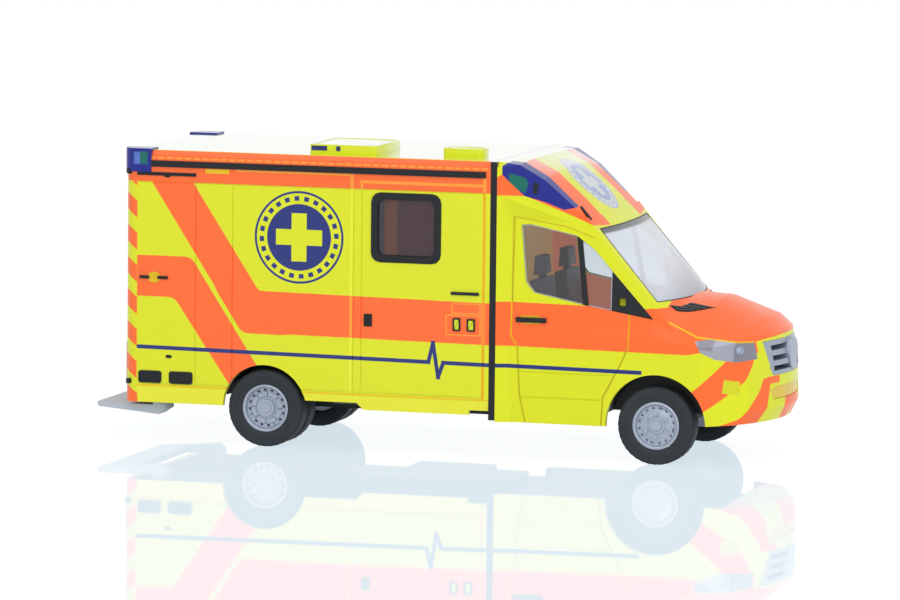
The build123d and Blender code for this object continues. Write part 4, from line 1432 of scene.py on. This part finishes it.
    def rear_rim(self) -> bpy.types.Object:
        """Model a deep rear rim with its holes, lobes and hub cap.

        Returns:
            The rim.
        """
        piece = self._rim_blank("rear_rim", self.rear_rings)
        self._pockets(piece, (1.76, 2.0), (1, 1, 0, 0), 0.3)
        self._pockets(piece, (1.2, 1.6), (0, 0, 0, 0, 0, 0, 0, 1), 0.16)
        return piece

    def build(self) -> None:
        """Model one of each, copy them to every wheel and dress them."""
        tyre, front, rear = self.tyre(), self.front_rim(), self.rear_rim()
        rubber = [self.finishes["tyre_rubber"]]
        # the second finish is the dark grey of the pockets' painted shade
        silver = [self.finishes["wheel_silver"], self.finishes["wheel_recess"]]
        for name, body, x, face_y in self.places:
            for side in Side:
                label = side.name.lower()
                centre = Matrix.Translation(at(x, side.value * (face_y - self.width / 2), self.radius))
                facing = centre @ (Matrix.Identity(4) if side is Side.LEFT else MIRROR)
                copy = Workshop.twin(tyre, f"{name}_tread_{label}", centre)
                Workshop.finish(copy, body, "tyre_rubber", rubber, [f"{name}_tyre_{label}"])
                if name != "rear_inner":
                    rim = Workshop.twin(front if name == "front" else rear, f"{name}_wheel_{label}", facing)
                    Workshop.finish(rim, body, "rim_silver", silver, [f"{name}_rim_{label}"], 28)
        for spare in (tyre, front, rear):
            bpy.data.objects.remove(spare)


@dataclass(frozen=True)
class Patch:
    """A small raised fitting on a flat wall of the box."""

    name: str
    x: Point
    z: Point
    proud: float
    corner: float
    rim: float
    floor: float
    finish: str = "black_moulding"
    inner: str = "black_moulding"
    slot: str = "black_trim"
    both: bool = False
    bars: int = 0


@dataclass
class BoxFittings:
    """Handles, vents, sockets and other fittings on the load box."""

    finishes: Finishes
    wall: float = 12.0
    patches: tuple[Patch, ...] = (
        Patch("vent_rear", (-13.87, -11.31), (6.27, 7.55), 0.1, 0.28, 0.12, 0.05, both=True, bars=4),
        Patch("vent_front", (-10.48, -7.87), (6.26, 7.56), 0.1, 0.28, 0.12, 0.05, both=True, bars=4),
        Patch("flank_oval", (-10.85, -10.2), (8.95, 9.27), 0.08, 0.15, 0.06, 0.04, both=True),
        Patch("cornice_oval", (-11.1, -10.45), (27.98, 28.27), 0.08, 0.14, 0.06, 0.04, both=True),
        # painted shade: the locker dish is amber for the shade in its hollow
        Patch(
            "locker_dish", (-12.87, -11.54), (16.85, 18.0), 0.05, 0.56, 0.1, 0.03,
            "amber_recess", "amber_recess", "box_paint", True,
        ),
        Patch(
            "door_dish", (21.4, 22.9), (16.42, 17.6), 0.05, 0.56, 0.1, 0.03,
            "yellow_moulding", "yellow_moulding", "box_paint",
        ),
        Patch("key_plate", (10.87, 11.75), (13.2, 14.5), 0.1, 0.08, 0.1, 0.05),
        Patch("socket_rear", (20.5, 21.32), (13.1, 14.46), 0.12, 0.12, 0.17, 0.06, inner="yellow_moulding"),
        Patch("socket_front", (22.02, 22.9), (13.1, 14.42), 0.12, 0.12, 0.17, 0.06, inner="yellow_moulding"),
    )
    handles: tuple[tuple[str, float, float, float, bool], ...] = (
        ("locker_grip_rear", -13.78, -12.72, 17.42, True),
        ("locker_grip_front", -11.8, -10.66, 17.42, True),
        ("door_grip_rear", 20.27, 21.75, 17.02, False),
        ("door_grip_front", 21.75, 23.3, 17.02, False),
    )
    studs: tuple[Point, ...] = ((-15.05, 28.5), (-15.0, 6.35))

    def _patch(self, patch: Patch) -> bpy.types.Object:
        """Model one fitting on the left wall: a rimmed plate with rounded corners.

        Args:
            patch: Its place and sizes.
        Returns:
            The fitting.
        """
        low = at(patch.x[0], self.wall - 0.05, patch.z[0])
        high = at(patch.x[1], self.wall + patch.proud, patch.z[1])
        piece = Workshop.block(patch.name, low, high)
        Workshop.round_corners(piece, ACROSS, patch.corner, 4)
        with Workshop.editing(piece):
            Workshop.pick(piece, lambda face: face.normal.y > 0.9)
            bpy.ops.mesh.inset(thickness=patch.rim * MM)
            Workshop.push(patch.floor - patch.proud)
            Workshop.paint_faces(piece, 1)
        parts = [piece]
        inside = (patch.z[0] + patch.rim, patch.z[1] - patch.rim)
        for bar in range(patch.bars):
            pitch = (inside[1] - inside[0]) / patch.bars
            foot = inside[0] + (bar + 0.3) * pitch
            slat = Workshop.block(
                "slat",
                at(patch.x[0] + patch.rim, self.wall + 0.02, foot),
                at(patch.x[1] - patch.rim, self.wall + patch.proud * 0.85, foot + pitch * 0.4),
            )
            Workshop.soften(slat, 0.02)
            parts.append(slat)
        return Workshop.join(patch.name, parts)

    def _grip(self, name: str, start: float, end: float, z: float) -> bpy.types.Object:
        """Model a black grip on the left wall, swelling in the middle.

        Args:
            name: Its name.
            start: Its rear end.
            end: Its front end.
            z: Its height.
        Returns:
            The grip.
        """
        piece = Workshop.block(name, at(start, self.wall, z - 0.16), at(end, self.wall + 0.18, z + 0.16))
        with Workshop.editing(piece):
            Workshop.pick(piece, lambda face: face.normal.y > 0.9)
            bpy.ops.mesh.inset(thickness=0.06 * MM, depth=0.02 * MM)
        Workshop.soften(piece, 0.05, 3)
        return piece

    def build(self) -> None:
        """Model and dress every fitting."""
        black = [self.finishes["black_moulding"]]
        for patch in self.patches:
            materials = [self.finishes[patch.finish], self.finishes[patch.inner]]
            Workshop.place(self._patch(patch), patch.both, patch.slot, materials)
        for name, start, end, z, both in self.handles:
            Workshop.place(self._grip(name, start, end, z), both, "black_trim", black)
        for index, (x, z) in enumerate(self.studs):
            centre = at(x, self.wall - 0.18, z)
            stud = Workshop.rod(f"hinge_stud_{index}", centre, 0.3, 0.5, Vector((-0.7, 0.7, 0)), 16)
            Workshop.soften(stud, 0.08, 3)
            Workshop.place(stud, True, "black_trim", black)


@dataclass
class CabFittings:
    """Handles, louvres and markers on the cab."""

    finishes: Finishes
    handle: tuple[Point, float, float] = ((27.2, 30.25), 14.5, 11.24)
    louvre: tuple[Place, ...] = (
        (42.75, 8.6, 16.3), (44.45, 5.05, 16.33), (46.94, 5.37, 15.94), (44.67, 7.57, 15.6),
    )
    louvre_bars: int = 4
    marker: tuple[Place, Place] = ((33.33, 9.2, 26.2), (34.62, 9.97, 25.02))
    dish: tuple[Point, Point] = ((27.55, 29.75), (14.08, 14.95))
    projector: Place = (50.62, 10.2, 12.15)

    def _handle(self) -> bpy.types.Object:
        """Model the left door handle: a bar on two feet.

        Returns:
            The handle.
        """
        (start, end), z, wall = self.handle
        piece = Workshop.block("door_handle", at(start, wall + 0.08, z - 0.26), at(end, wall + 0.24, z + 0.26))
        with Workshop.editing(piece):
            for sign in (-1, 1):
                Workshop.pick(piece, lambda face: face.normal.x * sign > 0.9)
                bpy.ops.mesh.inset(thickness=0.03 * MM)
                Workshop.push(0.12)
        Workshop.soften(piece, 0.12, 3)
        feet = []
        for x in (start + 0.2, end - 0.5):
            foot = Workshop.block("foot", at(x, wall - 0.1, z - 0.1), at(x + 0.3, wall + 0.12, z + 0.1))
            Workshop.soften(foot, 0.03)
            feet.append(foot)
        return Workshop.join("door_handle", [piece, *feet])

    def _louvre(self) -> bpy.types.Object:
        """Model the left hood louvre: a thin plate laid on the hood, with raised bars.

        Returns:
            The louvre.
        """
        Workshop.clear()
        bpy.ops.mesh.primitive_grid_add(x_subdivisions=8, y_subdivisions=2 * self.louvre_bars + 1, size=2)
        piece = bpy.context.object
        corners = [at(*corner) for corner in self.louvre]
        for vertex in piece.data.vertices:
            u, v = (vertex.co.x + 1) / 2, (vertex.co.y + 1) / 2
            rear = corners[0].lerp(corners[1], v)
            front = corners[3].lerp(corners[2], v)
            vertex.co = rear.lerp(front, u)
        Workshop.modify(
            piece, "SHRINKWRAP", target=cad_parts["cab_shell"], wrap_method="PROJECT", use_project_z=True,
            use_negative_direction=True, use_positive_direction=True, offset=0.05 * MM,
        )
        with Workshop.editing(piece):
            bpy.ops.mesh.select_all(action="SELECT")
            bpy.ops.mesh.normals_make_consistent(inside=False)
        with Workshop.editing(piece):
            Workshop.pick(piece, lambda face: (face.index // 8) % 2 == 1)
            Workshop.push(0.05)
            Workshop.paint_faces(piece, 1)
        Workshop.modify(piece, "SOLIDIFY", thickness=0.05 * MM, offset=-1)
        return piece

    def _marker(self) -> bpy.types.Object:
        """Model the left marker lamp: a slim black bar on the shoulder of the fairing.

        Returns:
            The marker lamp.
        """
        start, end = (at(*place) for place in self.marker)
        axis = end - start
        piece = Workshop.rod("fairing_marker", (start + end) / 2, 0.16, axis.length / MM, axis, 12)
        with Workshop.editing(piece):
            Workshop.pick(piece, lambda face: len(face.verts) > 8)
            bpy.ops.mesh.inset(thickness=0.08 * MM, depth=0.06 * MM)
        return piece

    def _dish(self) -> bpy.types.Object:
        """Model the shallow dish behind the left door handle.

        Returns:
            The dish.
        """
        (start, end), (low, high) = self.dish
        wall = self.handle[2]
        piece = Workshop.block("handle_dish", at(start, wall - 0.1, low), at(end, wall + 0.05, high))
        Workshop.round_corners(piece, ACROSS, 0.25, 4)
        with Workshop.editing(piece):
            Workshop.pick(piece, lambda face: face.normal.y > 0.9)
            bpy.ops.mesh.inset(thickness=0.06 * MM)
            Workshop.push(-0.03)
        return piece

    def _glass_rim(self, node: str, name: str, outward: Vector) -> bpy.types.Object:
        """Model the thin edge that shows round a pane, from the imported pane.

        Args:
            node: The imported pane.
            name: Name of the edge.
            outward: The way the pane faces.
        Returns:
            The edge.
        """
        piece = Workshop.twin(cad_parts[node], name, Matrix.Identity(4))
        Workshop.weld(piece)
        with Workshop.editing(piece):
            Workshop.pick(piece, lambda face: face.normal.dot(outward) < 0.6)
            bpy.ops.mesh.delete(type="FACE")
            bpy.ops.mesh.select_all(action="SELECT")
            bpy.ops.mesh.inset(thickness=0.08 * MM)
            bpy.ops.mesh.delete(type="FACE")
            bpy.ops.mesh.select_all(action="SELECT")
            Workshop.push(0.03)
        return piece

    def _projector(self) -> bpy.types.Object:
        """Model the round projector in the left headlamp: a ringed lens.

        Returns:
            The projector.
        """
        piece = Workshop.rod("headlamp_eye", at(*self.projector), 0.42, 0.5, Vector((0.5, 0.86, 0.05)), 24)
        with Workshop.editing(piece):
            Workshop.pick(piece, lambda face: len(face.verts) > 8 and face.normal.y > 0.5)
            bpy.ops.mesh.inset(thickness=0.1 * MM)
            Workshop.push(-0.1)
            bpy.ops.mesh.inset(thickness=0.06 * MM)
            bpy.ops.mesh.inset(thickness=0.12 * MM, depth=0.08 * MM)
        Workshop.soften(piece, 0.02)
        return piece

    def build(self) -> None:
        """Model and dress the fittings of both sides."""
        black = self.finishes["black_moulding"]
        table = (
            ("cab_handle", self._handle(), "black_trim", [black]),
            # painted shade: the cab handle dish is amber for the shade in its hollow
            ("handle_dish", self._dish(), "cab_paint", [self.finishes["amber_recess"]]),
            # the louvre's raised bars wear the same dark grey as the painted shade of the wheel pockets
            ("hood_louvre", self._louvre(), "black_trim", [black, self.finishes["wheel_recess"]]),
            ("fairing_marker", self._marker(), "black_trim", [black]),
            ("headlamp_eye", self._projector(), "lamp_lens", [self.finishes["grille_silver"]]),
            # painted highlight: a pale opaque strip stands for the light caught in the door glass's edge
            (
                "glass_rim", self._glass_rim("door_glass_left", "glass_rim", ACROSS),
                "clear_glass", [self.finishes["pale_rim"]],
            ),
        )
        for name, piece, slot, materials in table:
            piece.name = name
            Workshop.place(piece, name != "fairing_marker", slot, materials)
        rim = self._glass_rim("windscreen", "screen_rim", Vector((0.8, 0, 0.6)))
        Workshop.finish(rim, Body.MODEL, "clear_glass", [black])


@dataclass
class Seats:
    """The cab seats with their edges rounded off."""

    finishes: Finishes
    rounding: float = 0.42

    def build(self) -> None:
        """Round off a copy of each packed seat."""
        for side in Side:
            label = side.name.lower()
            piece = Workshop.twin(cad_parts[f"seat_{label}"], f"seat_soft_{label}", Matrix.Identity(4))
            Workshop.weld(piece)
            Workshop.soften(piece, self.rounding, 4)
            Workshop.finish(piece, Body.MODEL, "cab_grey", [self.finishes["seat_grey"]], [f"seat_{label}"], 50)


@dataclass
class RoofHatches:
    """Roof hatches with softened edges and the dark vents of the large one."""

    finishes: Finishes
    vents: tuple[Point, ...] = ((4.25, 5.95), (6.95, 7.4))

    def build(self) -> None:
        """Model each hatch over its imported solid."""
        yellow = self.finishes["yellow_moulding"]
        for name in ("large", "small"):
            low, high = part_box(f"roof_hatch_{name}")
            piece = Workshop.block(f"hatch_lid_{name}", low, high)
            Workshop.round_corners(piece, UPRIGHT, 0.5, 5)
            with Workshop.editing(piece):
                Workshop.pick(piece, lambda face: face.normal.z > 0.9)
                bpy.ops.mesh.inset(thickness=0.35 * MM)
                Workshop.push(-0.12)
                bpy.ops.mesh.inset(thickness=0.15 * MM)
                Workshop.push(0.08)
            Workshop.soften(piece, 0.03, 2)
            Workshop.finish(piece, Body.MODEL, "hatch_yellow", [yellow], [f"roof_hatch_{name}"])
        low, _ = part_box("roof_hatch_large")
        for index, (start, end) in enumerate(self.vents):
            vent = Workshop.block(
                f"hatch_vent_{index}",
                Vector((at(start, 0, 0).x, low.y - 0.04 * MM, low.z + 0.35 * MM)),
                Vector((at(end, 0, 0).x, low.y + 0.1 * MM, low.z + 0.85 * MM)),
            )
            with Workshop.editing(vent):
                Workshop.pick(vent, lambda face: face.normal.y < -0.9)
                bpy.ops.mesh.inset(thickness=0.08 * MM)
                Workshop.push(-0.02)
            Workshop.soften(vent, 0.01)
            Workshop.finish(vent, Body.MODEL, "black_trim", [self.finishes["vent_blue"]])


@dataclass
class PackedPieces:
    """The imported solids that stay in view, with their finishes."""

    finishes: Finishes
    table: tuple[tuple[str, tuple[str, ...]], ...] = (
        ("black_moulding", (
            "window_frame", "gutter_rail_*", "rear_strip_*", "mirror_base_*", "window_bar_*",
        )),
        ("tinted_pane", ("window_pane", "rear_pane_*")),
        ("gasket_black", ("seam_gasket",)),
        ("screen_pane", ("windscreen",)),
        ("clear_pane", ("door_glass_*",)),
        ("wall_tan", ("partition",)),
        ("seat_grey", ("seat_*", "dashboard", "steering_wheel")),
        ("lamp_silver", ("headlamp_*",)),
        ("grille_silver", ("grille",)),
        ("blue_lens", ("roof_beacon_*", "rear_beacon_*")),
        ("red_lamp", ("tail_lamp_*",)),
        ("step_grey", ("rear_step",)),
        # painted shade: the panel under the grille wears the gold of shaded yellow
        ("plate_yellow", ("plate_panel",)),
        ("base_black", ("chassis",)),
        ("pin_steel", ("front_axle_pin", "rear_axle_pin")),
        ("tyre_rubber", ("*_tyre_*",)),
        ("wheel_silver", ("*_rim_*",)),
        ("yellow_moulding", ("roof_hatch_*",)),
    )

    def _dress(self, name: str, material: bpy.types.Material) -> None:
        """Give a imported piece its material.

        Args:
            name: The piece's name.
            material: Its material.
        """
        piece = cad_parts[name]
        piece.data.materials.clear()
        piece.data.materials.append(material)
        LOG.info("%s wears %s", name, material.name)

    def dress(self) -> None:
        """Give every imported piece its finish."""
        self._dress("box_shell", self.finishes.box)
        self._dress("cab_shell", self.finishes.cab)
        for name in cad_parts:
            for finish, patterns in self.table:
                if any(fnmatchcase(name, pattern) for pattern in patterns):
                    self._dress(name, self.finishes[finish])
                    break


@dataclass
class Studio:
    """Floor, light and camera."""

    target: Place = (16.67, 0.0, 14.97)
    distance: float = 674.6
    azimuth: float = 16.26
    elevation: float = 6.1
    roll: float = 0.61
    focal_px: float = 6394.5
    image_width: int = 900
    floor_size: float = 6.0
    mirror_share: float = 0.3
    glow_share: float = 0.86

    def build(self) -> None:
        """Make the camera, the floor, the lamps and the world."""
        self._camera()
        self._floor()
        self._lamps()
        self._world()

    def _camera(self) -> None:
        """Place the camera at the photo's angle."""
        turn, lift, roll = (math.radians(angle) for angle in (self.azimuth, self.elevation, self.roll))
        back = Vector((math.sin(turn) * math.cos(lift), -math.cos(turn) * math.cos(lift), math.sin(lift)))
        right = Vector((math.cos(turn), math.sin(turn), 0))
        up = back.cross(right)
        across = right * math.cos(roll) + up * math.sin(roll)
        above = up * math.cos(roll) - right * math.sin(roll)
        data = bpy.data.cameras.new("photo_camera")
        data.sensor_width = 36.0
        data.lens = self.focal_px * data.sensor_width / self.image_width
        data.clip_start = 0.01
        data.clip_end = 20.0
        camera = bpy.data.objects.new("photo_camera", data)
        bpy.context.scene.collection.objects.link(camera)
        basis = Matrix((across, above, back)).transposed().to_4x4()
        camera.matrix_world = Matrix.Translation(at(*self.target) + back * self.distance * MM) @ basis
        bpy.context.scene.camera = camera

    def _floor(self) -> None:
        """Lay the pale glossy sheet that the model stands on."""
        Workshop.clear()
        bpy.ops.mesh.primitive_plane_add(size=self.floor_size)
        floor = bpy.context.object
        floor.name = "studio_floor"
        material, graph, shader = new_material("white_sheet")
        shader.inputs["Base Color"].default_value = (0.92, 0.93, 0.94, 1.0)
        shader.inputs["Roughness"].default_value = 0.6
        gloss = graph.node("ShaderNodeBsdfGlossy")
        gloss.inputs["Color"].default_value = (1.0, 0.74, 0.55, 1.0)
        gloss.inputs["Roughness"].default_value = 0.02
        glow = graph.node("ShaderNodeEmission")
        glow.inputs["Color"].default_value = (0.8, 0.92, 1.0, 1.0)
        glow.inputs["Strength"].default_value = 1.32
        sheet = graph.mix(self.mirror_share, graph.mix(self.glow_share, shader, glow), gloss)
        graph.show(graph.mix(graph.seen_rays(), shader, sheet))
        floor.data.materials.append(material)

    def _lamps(self) -> None:
        """Hang soft lamps above, ahead and on the near side."""
        table = (
            ("lamp_top", (0.0, -0.1, 0.62), 0.7, 1.15),
            ("lamp_near", (0.15, -0.75, 0.38), 0.6, 2.0),
            ("lamp_nose", (0.75, -0.15, 0.3), 0.5, 0.9),
        )
        for name, place, size, power in table:
            data = bpy.data.lights.new(name, "AREA")
            data.shape = "SQUARE"
            data.size = size
            data.energy = power
            lamp = bpy.data.objects.new(name, data)
            bpy.context.scene.collection.objects.link(lamp)
            lamp.location = place
            aim = Vector((0, 0, 0.015)) - Vector(place)
            lamp.rotation_euler = aim.to_track_quat("-Z", "Y").to_euler()

    def _world(self) -> None:
        """Surround the model with white that the camera, gloss and glass see as white."""
        world = bpy.data.worlds.new("white_surround")
        world.use_nodes = True
        bpy.context.scene.world = world
        graph = Graph(world.node_tree)
        back = world.node_tree.nodes["Background"]
        back.inputs["Color"].default_value = (1.0, 1.0, 1.0, 1.0)
        graph.feed(back.inputs["Strength"], graph.math("MULTIPLY_ADD", graph.seen_rays(), 0.45, 0.55))


def main() -> None:
    """Build the sub-assemblies in order."""
    logging.basicConfig(level=logging.INFO, format="%(message)s")
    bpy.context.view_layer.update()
    finishes = Finishes()
    PackedPieces(finishes).dress()
    Wheels(finishes).build()
    BoxFittings(finishes).build()
    CabFittings(finishes).build()
    Seats(finishes).build()
    RoofHatches(finishes).build()
    Studio().build()
    bpy.context.scene.view_settings.view_transform = "Standard"


if __name__ == "__main__":
    main()
